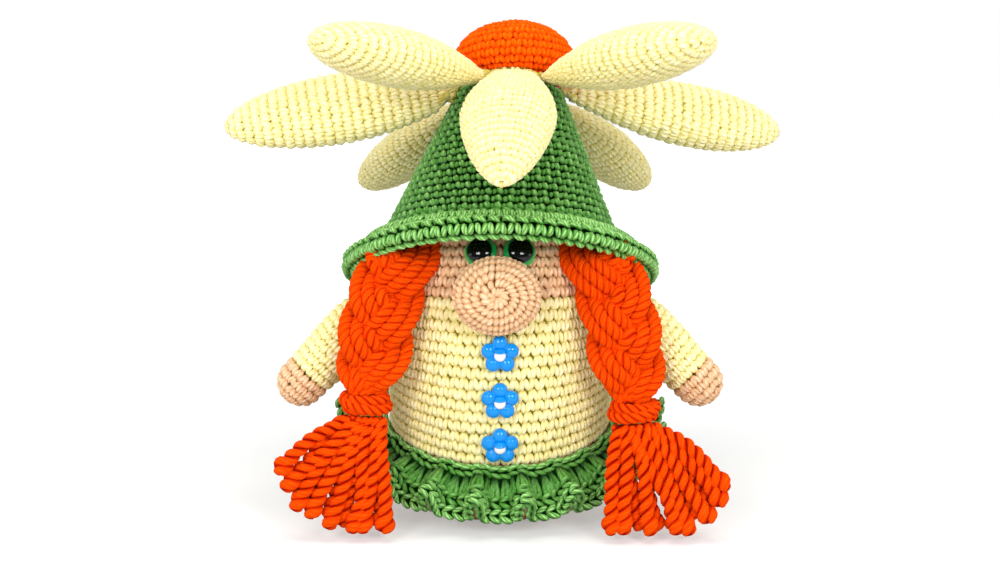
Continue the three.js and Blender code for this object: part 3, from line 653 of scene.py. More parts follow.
@dataclass
class TurnedForm:
    """A turned surface with a round or oval section, placed and bent by a function.

    Turn is a share of the way round from the front, towards +X. Along is millimetres up the profile.
    """

    profile: Array
    place: Callable[[Array], Array]
    oval: tuple[float, float] = (1.0, 1.0)
    looped: ClassVar[bool] = False

    def __post_init__(self) -> None:
        """Works out the length of the profile and of the section's outline."""
        self.reach = walked(self.profile)
        self.length = float(self.reach[-1])
        self.angles = np.linspace(0, TAU, 361)
        outline = np.stack([self.oval[0] * np.sin(self.angles), self.oval[1] * np.cos(self.angles)], axis=1)
        self.outline_length = float(walked(outline)[-1])
        self.shares = walked(outline) / self.outline_length

    def radius(self, along: Values) -> Array:
        """The radius at a length up the profile."""
        return np.interp(along, self.reach, self.profile[:, 0])

    def girth(self, along: float) -> float:
        """The length round the surface at a length up the profile."""
        return float(self.radius(along)) * self.outline_length

    def along_at(self, height: float) -> float:
        """The length up the profile at a height, where the profile only climbs."""
        return float(np.interp(height, self.profile[:, 1], self.reach))

    def point(self, turn: Array, along: Array, least: float = 0.0) -> Array:
        """Points on the surface, no nearer to its axis than the least radius."""
        radius = np.maximum(self.radius(along), least)
        height = np.interp(along, self.reach, self.profile[:, 1])
        angle = np.interp(np.mod(turn, 1.0), self.shares, self.angles)
        wide, deep = self.oval
        local = np.stack([wide * radius * np.sin(angle), -deep * radius * np.cos(angle), height], axis=-1)
        return self.place(local.reshape(-1, 3)).reshape(local.shape)

    def normal(self, turn: Array, along: Array) -> Array:
        """Unit vectors out of the surface."""
        step = 0.4
        inside = np.clip(along, step, self.length - step)
        across = self.point(turn + 0.004, inside, 0.5) - self.point(turn - 0.004, inside, 0.5)
        upward = self.point(turn, inside + step, 0.5) - self.point(turn, inside - step, 0.5)
        return unit(np.cross(across, upward))

    def rings(self, out: float, start: float, end: float, across: int) -> Array:
        """Rings of points at a distance out from the surface, between two lengths."""
        count = max(3, int(abs(end - start) / GROUND_STEP) + 1)
        along = np.linspace(start, end, count)[:, None] * np.ones((1, across))
        turn = np.ones((count, 1)) * (np.arange(across) / across)[None]
        return self.point(turn, along, 0.3) + self.normal(turn, along) * out

    def ground(self, mesh: YarnMesh, start: float, end: float, sunk: float, wall: float | None) -> None:
        """Adds the dark ground behind the loops, as one closed skin of painted shade that fills the holes
        between them.

        Args:
            mesh: What it is added to.
            start: Where it starts, in millimetres up the profile.
            end: Where it ends.
            sunk: How far it lies inside the surface.
            wall: Its thickness, or None where it is filled.
        """
        across = int(np.clip(self.girth((start + end) / 2) / GROUND_STEP, 12, 96))
        skins = [self.rings(-sunk, start, end, across)]
        looped = self.looped
        if wall is not None:
            skins.append(self.rings(-sunk - wall, start, end, across)[::-1])
            foot = start <= 0 and self.profile[0, 0] < 1
            top = end >= self.length and self.profile[-1, 0] < 1
            looped = not foot and not top
            if top and not foot:
                skins.reverse()
        mesh.surface(np.concatenate(skins), looped, 1, DEEPEST)


# Stitches


class Stitch(Enum):
    """The stitches, as the legs of yarn that show on the fabric's right side.

    Each of a leg's points has its place across and up in shares of the stitch, then millimetres out
    and radius.
    """

    SINGLE = (
        ((-0.02, -0.54, -2.4, 0.66), (-0.14, -0.27, -1.15, 1.12), (-0.26, 0.06, -0.95, 1.22),
         (-0.35, 0.34, -1.35, 1.08), (-0.42, 0.54, -2.4, 0.66)),
        ((0.1, -0.54, -2.4, 0.66), (0.22, -0.27, -1.1, 1.12), (0.28, 0.06, -0.92, 1.24),
         (0.32, 0.34, -1.35, 1.08), (0.36, 0.54, -2.4, 0.66)),
    )
    BEADED = (
        ((-0.3, -0.26, -2.6, 0.6), (-0.3, -0.15, -1.15, 0.94),
         (-0.28, 0.04, -0.9, 1.0), (-0.24, 0.22, -2.5, 0.62)),
        ((0.38, -0.26, -2.6, 0.62), (0.33, -0.14, -1.15, 1.12),
         (0.14, 0.12, -0.75, 1.34), (-0.08, 0.3, -2.4, 0.7)),
    )
    ROPE = (
        ((-0.26, -0.5, -2.2, 0.7), (-0.12, -0.24, -1.15, 1.16),
         (0.1, 0.22, -1.1, 1.2), (0.24, 0.5, -2.2, 0.7)),
    )
    RIDGE = (
        ((-0.42, 0.42, -1.8, 0.7), (-0.32, 0.14, 0.2, 1.16),
         (-0.14, -0.16, 0.3, 1.12), (0.0, -0.44, -1.4, 0.7)),
        ((0.1, 0.42, -1.8, 0.7), (0.2, 0.14, 0.2, 1.16),
         (0.34, -0.16, 0.3, 1.12), (0.46, -0.44, -1.4, 0.7)),
    )
    SLANTED = (
        ((-0.38, 0.42, -1.9, 0.6), (-0.24, 0.2, -0.75, 1.0),
         (-0.08, -0.16, -0.7, 1.02), (0.0, -0.42, -1.9, 0.6)),
        ((0.36, 0.42, -1.9, 0.6), (0.3, 0.2, -0.75, 1.0),
         (0.2, -0.16, -0.7, 1.02), (0.12, -0.42, -1.9, 0.6)),
    )
    LEAF = (
        ((-0.46, 0.2, -1.6, 0.5), (-0.16, 0.16, -0.35, 0.98),
         (0.16, -0.12, -0.3, 1.0), (0.46, -0.22, -1.6, 0.5)),
    )
    PAIR = (
        ((-0.34, 0.52, -1.7, 0.8), (-0.31, 0.22, -0.75, 1.16),
         (-0.2, -0.18, -0.7, 1.16), (-0.1, -0.52, -1.7, 0.8)),
        ((0.3, 0.52, -1.7, 0.8), (0.29, 0.22, -0.75, 1.12),
         (0.22, -0.18, -0.7, 1.12), (0.12, -0.52, -1.7, 0.8)),
    )
    RIM = (
        ((-0.56, 0.2, -1.6, 0.6), (-0.22, 0.16, -0.45, 1.08),
         (0.2, -0.1, -0.4, 1.1), (0.54, -0.2, -1.6, 0.6)),
    )


@dataclass(frozen=True)
class Rows:
    """Rounds of one stitch, worked from one length up a form to another."""

    stitch: Stitch
    start: float
    end: float
    pitch: float
    width: float
    multiple: int = 6
    drift: float = 0.05
    spiral: bool = False
    size: float = 1.0
    out: float = 0.0
    least: int = 6


class Hook:
    """Works rows of stitches over forms, with the small unevenness of handwork."""

    def __init__(self, seed: int) -> None:
        """Starts the seeded unevenness."""
        self.random = np.random.default_rng(seed)

    def tints(self, middle: float, count: int, spread: float = 0.2) -> Array:
        """Draws tones from 0 to 1 for some lengths of yarn."""
        return np.clip(self.random.normal(middle, spread, count), 0, 1)

    def centres(self, form: TurnedForm, rows: Rows) -> tuple[Array, Array, Array, float]:
        """Where the stitches of some rounds lie.

        Args:
            form: The surface.
            rows: The rounds.

        Returns:
            Turn, length along and share of the round of every stitch, and the true pitch.
        """
        count = max(1, round((rows.end - rows.start) / rows.pitch))
        pitch = (rows.end - rows.start) / count
        found = []
        for index in range(count):
            middle = rows.start + pitch * (index + 0.5)
            wanted = form.girth(middle) / rows.width
            number = max(rows.least, rows.multiple * round(wanted / rows.multiple))
            step = np.arange(number) / number + (rows.drift * index % 1 + 0.5) / number
            along = middle + (pitch * (step - 0.5) if rows.spiral else 0 * step)
            found.append((0.5 + step, along, np.full(number, 1 / number)))
        turn, along, share = (np.concatenate(values) for values in zip(*found))
        return turn, along, share, pitch

    def work(self, mesh: YarnMesh, form: TurnedForm, rows: Rows) -> None:
        """Adds rounds of stitches over a form to a mesh."""
        turn, along, share, pitch = self.centres(form, rows)
        number = len(turn)
        girth = np.array([form.girth(min(max(a, 0.6), form.length - 0.6)) for a in along])
        fit = np.clip(girth * share / rows.width, 0.62, 1.12) * rows.size
        shift = self.random.normal(0, 0.03, (number, 3))
        for leg in rows.stitch.value:
            across, up, out, radius = resampled(leg, LEG_PLACES).T
            sway = self.random.normal(0, 0.022, (number, 2))
            leg_turn = turn[:, None] + (across + shift[:, :1] + sway[:, :1]) * share[:, None]
            leg_along = along[:, None] + (up + shift[:, 1:2] + sway[:, 1:2]) * pitch
            normal = form.normal(leg_turn, leg_along)
            rise = out * fit[:, None] + shift[:, 2:3] * 2.5 + rows.out
            paths = form.point(leg_turn, leg_along, 0.35) + normal * rise[..., None]
            radii = radius * fit[:, None] * self.random.normal(1, 0.03, (number, 1))
            # Each leg's depth under the fabric, from which its material paints shade where it dives in.
            mesh.tubes(paths, radii, normal, 0.4 - rise, self.tints(0.5, number))


def dressed(piece: Piece, body: str, slot: str, *nodes: str) -> Piece:
    """Lets a piece ride on a body and stand for CAD nodes, which it hides, and logs it."""
    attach(piece, body)
    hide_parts(*nodes)
    log.info("%s: %d faces", piece.name, len(piece.data.polygons))
    return piece


@dataclass
class Crochet:
    """One stuffed crocheted piece: the rounds over its form and the dark ground of painted shade behind
    them.
    """

    name: str
    node: str
    form: TurnedForm
    finish: YarnFinish
    rounds: Sequence[Rows]
    fill: float
    body: str = "body"
    start: float = 0.0
    end: float | None = None
    sunk: float = 1.9
    wall: float | None = None

    def make(self, hook: Hook) -> None:
        mesh = YarnMesh()
        for rows in self.rounds:
            hook.work(mesh, self.form, rows)
        end = self.form.length if self.end is None else self.end
        self.form.ground(mesh, self.start, end, self.sunk, self.wall)
        piece = mesh.build(f"{self.name}_crochet", self.finish.material(), self.finish.ground())
        dressed(piece, self.body, self.finish.slot, self.node)


def moulded(name: str, finish: PlasticFinish | EyeFinish, node: str, *skins: Array) -> Piece:
    """Makes a plastic piece of the body from closed skins over rings of points."""
    mesh = YarnMesh()
    for rings in skins:
        mesh.surface(rings)
    return dressed(mesh.build(name, finish.material()), "body", finish.slot, node)


def refinished(name: str, finish: PlasticFinish | FibreFinish) -> None:
    """Gives a carried-over CAD node its material."""
    materials = frame["nodes"][name].data.materials
    materials.clear()
    materials.append(finish.material())
    log.info("%s: %s", name, finish.name)


@dataclass(frozen=True)
class Cord:
    """Twisted cord: how many strands it has and how they lie."""

    strands: int
    radius: float
    strand_radius: float
    lay: float

    def add(
        self, mesh: YarnMesh, line: Array, tint: float, phase: float, taper: Sequence[float] = (1.0, 1.0),
        round_end: bool = False,
    ) -> None:
        """Adds the cord's strands along a line.

        Args:
            mesh: What they are added to.
            line: The cord's centre line, with its places evenly spaced.
            tint: The cord's own tone, 0 to 1.
            phase: Where round the cord its strands start, in turns.
            taper: The cord's thickness at its start and end, as shares.
            round_end: True to close the far end as a round knob.
        """
        along = unit(np.gradient(line, axis=0))
        side = self._sides_along(along)
        up = np.cross(side, along)
        reach = walked(line)
        thick = lerp(*taper, reach / reach[-1])
        spread = np.ones_like(reach)
        if round_end:
            left = (reach[-1] - reach) / (self.radius * 1.25)
            knob = np.sqrt(np.clip(1 - (1 - np.clip(left, 0, 1)) ** 2, 0.03, 1))
            thick = thick * knob * (1 + 0.36 * np.exp(-((left - 0.9) ** 2) / 0.5))
            spread = 0.35 + 0.65 * knob
        offset = (self.radius - self.strand_radius) * thick * spread
        radii = self.strand_radius * thick
        for index in range(self.strands):
            angle = -TAU * (reach / self.lay + index / self.strands + phase)
            away = side * np.cos(angle)[:, None] + up * np.sin(angle)[:, None]
            paths = (line + away * offset[:, None])[None]
            own = np.clip([tint + 0.12 * math.sin(5 * index + 9 * tint)], 0, 1)
            # A fixed depth: each strand takes painted shade on its side towards the cord's middle, where it
            # meets the others.
            mesh.tubes(paths, radii[None], away[None], np.full((1, len(line)), 0.9), own, CORD_SIDES)

    @staticmethod
    def _sides_along(along: Array) -> Array:
        """Side directions that turn no more than the line itself does."""
        first = np.cross(along[0], (0.0, 1.0, 0.0))
        if np.linalg.norm(first) < 0.1:
            first = np.cross(along[0], (1.0, 0.0, 0.0))
        sides = [unit(first)]
        for tangent in along[1:]:
            sides.append(unit(sides[-1] - tangent * np.dot(sides[-1], tangent)))
        return np.array(sides)


# The doll


@dataclass(frozen=True)
class Spine:
    """The bent line up the middle of the body, and the body's outline round it."""

    belly_r: float = 44.2
    belly_h: float = 42.0
    body_h: float = 140.0
    seat_depth: float = 8.6
    shoulder_power: float = 3.2
    seat_power: float = 6.0
    seat_y: float = 4.0
    skirt_h: float = 34.8
    face_h: float = 88.0
    skirt_lean: float = 14.0
    head_lean: float = -17.0

    def lean(self, height: Values) -> Array:
        """How far a round leans forwards at a height, in radians."""
        heights = (0.0, self.skirt_h, self.body_h)
        return np.radians(np.interp(height, heights, (0.0, self.skirt_lean, self.head_lean)))

    def centre(self, height: Array) -> Array:
        """Points on the spine at some heights, heights under 0 being straight down."""
        fine = np.linspace(0, 170, 681)
        lean = self.lean((fine[1:] + fine[:-1]) / 2)
        step = fine[1] - fine[0]
        back = self.seat_y - np.r_[0, np.cumsum(np.sin(lean) * step)]
        rise = np.r_[0, np.cumsum(np.cos(lean) * step)]
        y = np.interp(height, fine, back)
        z = np.interp(height, fine, rise) + np.minimum(height, 0)
        return np.stack([np.zeros_like(y), y, z], axis=-1)

    def bend(self, local: Array) -> Array:
        """Takes points round a straight axis to their place round the spine."""
        lean = self.lean(local[:, 2])
        moved = self.centre(local[:, 2])
        moved[:, 0] += local[:, 0]
        moved[:, 1] += local[:, 1] * np.cos(lean)
        moved[:, 2] += local[:, 1] * np.sin(lean)
        return moved

    def frame_at(self, height: float) -> tuple[Array, Array]:
        """The turn and the centre of the round at a height."""
        return rotation(Axis.X, math.degrees(float(self.lean(height)))), self.centre(np.array([height]))[0]

    def radius(self, height: Values) -> Array:
        """The body's radius at a height."""
        height = np.asarray(height, float)
        above = height > self.belly_h
        reach = np.where(above, self.body_h - self.belly_h, self.belly_h + self.seat_depth)
        power = np.where(above, self.shoulder_power, self.seat_power)
        share = np.minimum(np.abs(height - self.belly_h) / reach, 1)
        return self.belly_r * np.sqrt(1 - share**power)

    def skin_frame(self, height: float, turn: float, out: float) -> tuple[Array, Array]:
        """A place on the body's skin.

        Args:
            height: The height up the spine.
            turn: Degrees round from the front, towards +X.
            out: Millimetres out from the skin.

        Returns:
            The 3 by 3 turn that takes +Z out of the skin, and the point.
        """
        step = 0.05
        slope = float(self.radius(height + step) - self.radius(height - step)) / (2 * step)
        matrix, centre = self.frame_at(height)
        angle = math.radians(turn)
        around = np.array([math.sin(angle), -math.cos(angle), 0.0])
        normal = (around - np.array([0, 0, slope])) / math.hypot(1, slope)
        point = centre + matrix @ (around * float(self.radius(height)) + normal * out)
        return aimed(matrix @ normal), point


SPINE = Spine()


@dataclass
class StuffedBody:
    """The barrel-shaped body: base, shirt and head covers over one stuffing."""

    hook: Hook
    fit: float = 0.3
    ground_wall: float = 0.9
    row: float = 3.55
    face_row: float = 3.2
    base_stitch: float = 4.1
    stitch: float = 3.9
    drift: float = 0.2
    seat_start: float = 2.0
    head_top: float = 113.5

    def form(self, start: float, end: float, seat: bool = False) -> TurnedForm:
        """The body's surface between two heights, with the flat seat under it if asked for."""
        ease = np.linspace(0, 1, 160)
        if end >= SPINE.body_h:
            ease = 1 - (1 - ease) ** 2
        heights = lerp(start, end, ease)
        profile = np.stack([SPINE.radius(heights), heights], axis=1)
        if seat:
            flat = np.linspace(0, profile[0, 0], 12)[:-1]
            profile = np.vstack([np.stack([flat, np.zeros_like(flat)], axis=1), profile])
        return TurnedForm(profile, SPINE.bend)

    def build(self) -> None:
        """Makes the covers, whose stitches stop just under the hat, and finishes the stuffings."""
        half = self.fit / 2
        base = self.form(0.0, SPINE.skirt_h - half, seat=True)
        shirt = self.form(SPINE.skirt_h + half, SPINE.face_h - half)
        head = self.form(SPINE.face_h + half, SPINE.body_h)
        covers = (
            ("base", base, SKIN, self.seat_start, base.length, self.row, self.base_stitch, 0.05),
            ("shirt", shirt, CREAM, 0.0, shirt.length, self.row, self.stitch, self.drift),
            ("head", head, SKIN, 0.0, head.along_at(self.head_top), self.face_row, self.stitch, self.drift),
        )
        for name, form, finish, start, end, row, stitch, drift in covers:
            rows = Rows(Stitch.SINGLE, start, end, row, stitch, drift=drift)
            Crochet(name, f"{name}_cover", form, finish, (rows,), 0.9, wall=self.ground_wall).make(self.hook)
        for name in ("body_stuffing", "hat_stuffing"):
            refinished(name, STUFFING)


@dataclass
class RuffleForm:
    """The middle surface of the skirt's wavy cloth, from its seam to its hem."""

    width: float = 20.0
    folds: int = 21
    fold_depth: float = 6.7
    curl: float = 1.6
    narrow: float = 2.6
    droop_front: float = 30.0
    droop_back: float = 3.0
    seam_gap: float = 1.05

    def point(self, turn: Array, along: Array) -> Array:
        """Points on the cloth's middle surface."""
        angle = TAU * np.asarray(turn, float)
        share = np.asarray(along, float) / self.width
        facing = ((1 + np.cos(angle)) / 2) ** 1.5
        droop = np.radians(lerp(self.droop_back, self.droop_front, facing))
        folded = self.folds * angle
        swing = np.abs(share) ** np.where(np.cos(folded) < 0, 0.85, 1.2)
        up = self.fold_depth * (0.2 * np.cos(2 * folded) - np.cos(folded)) * swing
        inner = float(SPINE.radius(SPINE.skirt_h)) + self.seam_gap
        out = inner + along * np.cos(droop) + up * np.sin(droop)
        rise = up * np.cos(droop) - along * np.sin(droop)
        angle = angle + (self.curl * np.sin(2 * folded) + self.narrow * np.sin(folded)) * swing / out
        matrix, centre = SPINE.frame_at(SPINE.skirt_h)
        local = np.stack([out * np.sin(angle), -out * np.cos(angle), rise], axis=-1)
        return local @ matrix.T + centre

    def girth(self, along: float) -> float:
        """The length round the cloth at a distance from its seam."""
        turn = np.linspace(0, 1, 1261)
        return float(walked(self.point(turn, np.full_like(turn, along)))[-1])

    def normal(self, turn: Array, along: Array) -> Array:
        """Unit vectors out of the cloth's upper face."""
        step = 0.3
        across = self.point(turn + 0.0005, along) - self.point(turn - 0.0005, along)
        outward = self.point(turn, along + step) - self.point(turn, along - step)
        return unit(np.cross(outward, across))


class Leaf(Enum):
    """The skirt's looped lines: share of the loop, millimetres outwards and off the cloth, and radius."""

    OUTER = (
        (-0.55, -0.7, 0.0, 0.5), (-0.2, 0.1, 0.7, 0.98), (0.2, 0.9, 0.9, 1.04), (0.54, 1.2, 0.1, 0.6),
    )
    INNER = (
        (-0.55, -1.1, 0.0, 0.5), (-0.2, -1.8, 0.7, 0.98), (0.2, -2.5, 0.9, 1.04), (0.54, -3.0, 0.1, 0.6),
    )
    SEAM = (
        (-0.66, 0.5, 0.2, 0.6), (-0.22, 0.2, 1.2, 1.05), (0.28, -0.15, 1.25, 1.05), (0.68, -0.5, 0.3, 0.6),
    )
    SECOND = (
        (-0.6, -0.7, 0.0, 0.55), (-0.2, -0.2, 0.75, 0.92), (0.24, 0.3, 0.8, 0.95), (0.6, 0.7, 0.1, 0.55),
    )


@dataclass
class Skirt:
    """The ruffled skirt: a cloth of tall stitches, gathered at the seam, with a chain along its hem."""

    hook: Hook
    cloth_t: float = 1.0
    cloth_rows: int = 9
    posts_a_fold: int = 15
    post_start: float = 3.4
    post_end: float = 8.0
    chain_width: float = 4.2
    form: RuffleForm = field(default_factory=RuffleForm)

    def cloth(self) -> Piece:
        """The thin cloth in the middle of the stitches, in the dark ground colour: painted shade between the
        posts.
        """
        across = self.form.folds * 16
        turn = (np.arange(across) / across)[None] * np.ones((self.cloth_rows, 1))
        along = np.linspace(0.4, self.form.width - 0.8, self.cloth_rows)[:, None] * np.ones((1, across))
        middle = self.form.point(turn, along)
        normal = self.form.normal(turn, along) * self.cloth_t / 2
        mesh = YarnMesh()
        mesh.surface(np.concatenate([middle - normal, (middle + normal)[::-1]]), looped=True, depth=DEEPEST)
        return mesh.build("skirt_cloth", GREEN.ground())

    def stitches(self) -> Piece:
        """The tall stitches, the braid along the hem and the loops over the seam."""
        mesh = YarnMesh()
        for face in (-1, 1):
            self._posts(mesh, face)
        # Each band's second number is a depth that sets its painted shade.
        for inset, deep in ((1.5, 0.8), (6.4, 1.25)):
            for face in (1, -1):
                for leaf in (Leaf.OUTER, Leaf.INNER):
                    self._loops(mesh, self.form.width - inset, self.chain_width, leaf, deep, face)
        # The seam's loops and the second band also take painted shade from the depth given.
        self._loops(mesh, 0.4, 3.5, Leaf.SEAM, 0.9, 1)
        self._loops(mesh, 3.0, 3.7, Leaf.SECOND, 1.35, 1)
        return mesh.build("skirt_stitches", GREEN.material())

    def _posts(self, mesh: YarnMesh, face: int) -> None:
        """Adds the tall stitches on the cloth's upper face, 1, or lower face, -1."""
        random = self.hook.random
        number = self.form.folds * self.posts_a_fold
        share = 1.0 / number
        own = np.arange(number) + 0.5
        cluster = np.round(own / 3 - 0.5) * 3 + 1.5
        foot, head = (0.6 * cluster + 0.4 * own) * share, own * share
        way = np.linspace(0, 1, 7)
        each = np.ones((number, 1))
        shift = random.normal(0, 0.07, (number, 1)) * share
        turn = lerp(foot[:, None], head[:, None], smoothstep(way, 0, 0.8)) + shift
        along = lerp(self.post_start, self.form.width - self.post_end, way)[None]
        along = along + random.normal(0, 0.2, (number, 1))
        normal = self.form.normal(turn, along) * face
        lift = np.interp(way, (0, 0.2, 0.8, 1), (-0.2, 0.45, 0.5, 0.1))
        radii = np.interp(way, (0, 0.3, 0.75, 1), (0.6, 0.9, 1.12, 0.8))[None] * each
        # Painted shade: the posts lie deeper, so darker, at their feet by the seam than at their heads.
        deep = np.interp(way, (0, 0.5, 1), (2.4, 1.6, 1.3))[None] * each
        paths = self.form.point(turn, along) + normal * lift[:, None]
        mesh.tubes(paths, radii, normal, deep, self.hook.tints(0.45, number))

    def _loops(self, mesh: YarnMesh, along: float, width: float, leaf: Leaf, deep: float, face: int) -> None:
        """Adds a line of leaf-shaped loops round the cloth, each starting inside the one before.

        Args:
            mesh: What they are added to.
            along: How far out from the seam the line lies.
            width: The length of one loop.
            leaf: The loop's shape.
            deep: How deep the loops lie, in millimetres, which sets their painted shade.
            face: 1 on the upper face, or -1 under the cloth.
        """
        random = self.hook.random
        fine = np.linspace(0, 1, 4201)
        reach = walked(self.form.point(fine, np.full_like(fine, along)))
        number = int(round(reach[-1] / width))
        share, outward, lift, radius = resampled(leaf.value, LEG_PLACES).T
        middle = (np.arange(number)[:, None] + 0.5) / number * reach[-1]
        place = middle + share * width + random.normal(0, 0.08, (number, 1))
        turn = np.interp(np.mod(place, reach[-1]), reach, fine)
        out = along + outward + random.normal(0, 0.08, (number, 1))
        normal = self.form.normal(turn, out) * face
        paths = self.form.point(turn, out) + normal * lift[:, None]
        radii = radius * random.normal(1, 0.04, (number, 1))
        mesh.tubes(paths, radii, normal, np.full_like(radii, deep), self.hook.tints(0.55, number))

    def build(self) -> None:
        """Makes the skirt: its cloth and its stitches."""
        cloth = dressed(self.cloth(), "body", GREEN.slot, "skirt_ruffle")
        stitches = dressed(self.stitches(), "body", GREEN.slot, "skirt_ruffle")
        hem = self.form.girth(self.form.width) * MM
        seam = self.form.girth(0.0) * MM


@dataclass(frozen=True)
class HatFrame:
    """Where the hat sits on the head and how it leans."""

    seam_h: float = 109.5
    side: float = 0.3
    back: float = 2.4
    lean_back: float = 17.0
    lean_side: float = 0.8
    skew: float = 0.054

    def turn(self) -> Array:
        """The hat's lean as a 3 by 3 matrix."""
        return rotation(Axis.Y, self.lean_side) @ rotation(Axis.X, -self.lean_back)

    def origin(self) -> Array:
        """The middle of the hat's seam."""
        return SPINE.centre(np.array([self.seam_h]))[0] + np.array([self.side, self.back, 0.0])

    def place(self, local: Array) -> Array:
        """Takes points of the hat's own frame to their place on the head."""
        return local @ self.turn().T + self.origin()

    def place_sheared(self, local: Array) -> Array:
        """The same for the crown, which sags over a little with height."""
        return self.place(local + self.skew * local[:, 2:] * np.array([1.0, 0.0, 0.0]))

    def clear(self, points: Array, room: float) -> Array:
        """Moves places that lie in the crown or in the flower's middle out to their skin.

        Args:
            points: The places, as rows.
            room: How far off the skin they are kept.

        Returns:
            The places, moved only where they were too near.
        """
        local = (points - self.origin()) @ self.turn()
        local[:, 0] -= self.skew * local[:, 2]
        away = np.maximum(np.hypot(local[:, 0], local[:, 1]), 0.1)
        lean = (Hat.seam_r - Hat.top_r) / Hat.crown_h
        wanted = Hat.seam_r - lean * local[:, 2] + room
        inside = (away < wanted) & (local[:, 2] < Hat.crown_h + room)
        over = inside & (Hat.crown_h + room - local[:, 2] < wanted - away)
        local[over, 2] = Hat.crown_h + room
        beside = inside & ~over
        local[beside, :2] *= (wanted / away)[beside, None]
        heart = np.array([Daisy.middle_shift, 0.0, Hat.crown_h + Daisy.middle_sink + Daisy.fit])
        rise = np.where(local[:, 2] > heart[2], Daisy.middle_rise, Daisy.middle_sink) + room
        size = np.stack([np.full(len(local), Daisy.middle_r + room)] * 2 + [rise], axis=1)
        share = np.maximum(np.linalg.norm((local - heart) / size, axis=1), 0.1)
        near = share < 1
        local[near] = heart + (local[near] - heart) / share[near, None]
        return self.place_sheared(local)


HAT = HatFrame()


@dataclass
class BrimForm(TurnedForm):
    """The brim's skin, from the seam underneath, round the rolled edge and back over the top."""

    profile: Array = field(default_factory=lambda: np.zeros((2, 2)))
    place: Callable[[Array], Array] = HAT.place
    seam_r: float = 43.5
    width: float = 19.2
    thickness: float = 6.6
    slope_front: float = 20.5
    slope_back: float = 48.0
    gap: float = 0.3
    inside: float = 1.5
    looped: ClassVar[bool] = True

    def __post_init__(self) -> None:
        """Works out the lengths of the brim's section."""
        self.flat = self.width + self.inside
        self.length = 2 * self.flat + math.pi * self.thickness / 2

    def section(self, along: Values) -> tuple[Array, Array]:
        """Distances out from the seam and up from the brim's middle, at lengths along its skin."""
        half = self.thickness / 2
        angle = np.clip((along - self.flat) / half, 0, math.pi) - math.pi / 2
        nearest = np.minimum(along, self.length - along) - self.inside
        out = np.where(nearest < self.width, nearest, self.width + half * np.cos(angle))
        return out, half * np.sin(angle)

    def girth(self, along: float) -> float:
        """The length round the brim."""
        return TAU * float(self.seam_r + self.section(along)[0] * 0.88)

    def point(self, turn: Array, along: Array, least: float = 0.0) -> Array:
        """Points on the brim's skin."""
        angle = TAU * np.asarray(turn, float)
        out, up = self.section(np.asarray(along, float))
        slope = np.radians(lerp(self.slope_back, self.slope_front, ((1 + np.cos(angle)) / 2) ** 2))
        radius = self.seam_r + out * np.cos(slope) + up * np.sin(slope)
        rise = (up - self.thickness / 2) * np.cos(slope) - (out + self.inside) * np.sin(slope) - self.gap
        local = np.stack([radius * np.sin(angle), -radius * np.cos(angle), rise], axis=-1)
        return self.place(local.reshape(-1, 3)).reshape(local.shape)


@dataclass
class Hat:
    """The green hat: a leaning crown, a drooping padded brim and a small bead."""

    hook: Hook
    seam_r: float = 45.0
    top_r: float = 21.5
    crown_h: float = 57.0
    round_off: float = 2.5
    row: float = 3.3
    crown_stitch: float = 4.4
    top_stitch: float = 4.1
    brim_stitch: float = 4.7
    bead_r: float = 1.7
    bead_turn: float = 98.0
    bead_out: float = 6.0
    under_rows_start: float = 1.0

    BRIM_ROWS: ClassVar = (
        (Stitch.SLANTED, 2.9, 5.8, 0.1), (Stitch.RIDGE, 9.2, 6.8, 0.2), (Stitch.PAIR, 15.6, 5.6, 0.5),
        (Stitch.LEAF, 20.8, 4.6, 0.5), (Stitch.PAIR, 25.5, 5.0, 0.2), (Stitch.RIM, 30.0, 4.2, 0.3),
    )

    def crown(self) -> None:
        """Makes the crown, worked in plump rounds from its seam to the middle of its top."""
        edge = self.crown_h - self.round_off
        shoulder = np.array([
            [self.top_r, edge],
            [self.top_r - self.round_off * 0.3, self.crown_h - self.round_off * 0.3],
            [self.top_r - self.round_off, self.crown_h],
            [0.0, self.crown_h],
        ])
        side = np.linspace((self.seam_r, 0.0), (self.top_r, edge), 40)[:-1]
        form = TurnedForm(np.vstack([side, shoulder]), HAT.place_sheared)
        slant = math.hypot(self.seam_r - self.top_r, edge)
        rounds = (
            Rows(Stitch.BEADED, 0.0, slant, self.row, self.crown_stitch),
            Rows(Stitch.RIM, -1.6, 1.2, 2.8, self.crown_stitch, out=-0.9, size=1.1),
            Rows(Stitch.SINGLE, slant, slant + 7.2, 3.6, self.top_stitch),
        )
        Crochet("crown", "hat_crown", form, GREEN, rounds, 0.8, sunk=2.0, wall=0.8).make(self.hook)

    def brim(self) -> None:
        """Makes the brim: a ridge and looped rows over the top and edge, plain rows underneath."""
        form = BrimForm()
        rounds = []
        for stitch, place, height, out in self.BRIM_ROWS:
            start = form.length - place - height / 2
            rounds.append(Rows(stitch, start, start + height, height, self.brim_stitch, out=out))
        rounds.append(Rows(Stitch.SINGLE, self.under_rows_start, rounds[-1].start, 3.6, 4.2))
        Crochet("brim", "hat_brim", form, GREEN, rounds, 0.7).make(self.hook)

    def bead(self) -> None:
        """Makes the small black bead on the brim."""
        form = BrimForm()
        turn = np.array([self.bead_turn / 360])
        along = np.array([form.length - self.bead_out - form.inside])
        centre = form.point(turn, along)[0] + form.normal(turn, along)[0] * (self.bead_r * 0.8 + form.gap)
        moulded("brim_bead_ball", BLACK_BEAD, "brim_bead", ball(centre, self.bead_r))

    def build(self) -> None:
        """Makes every piece of the hat."""
        self.crown()
        self.brim()
        self.bead()


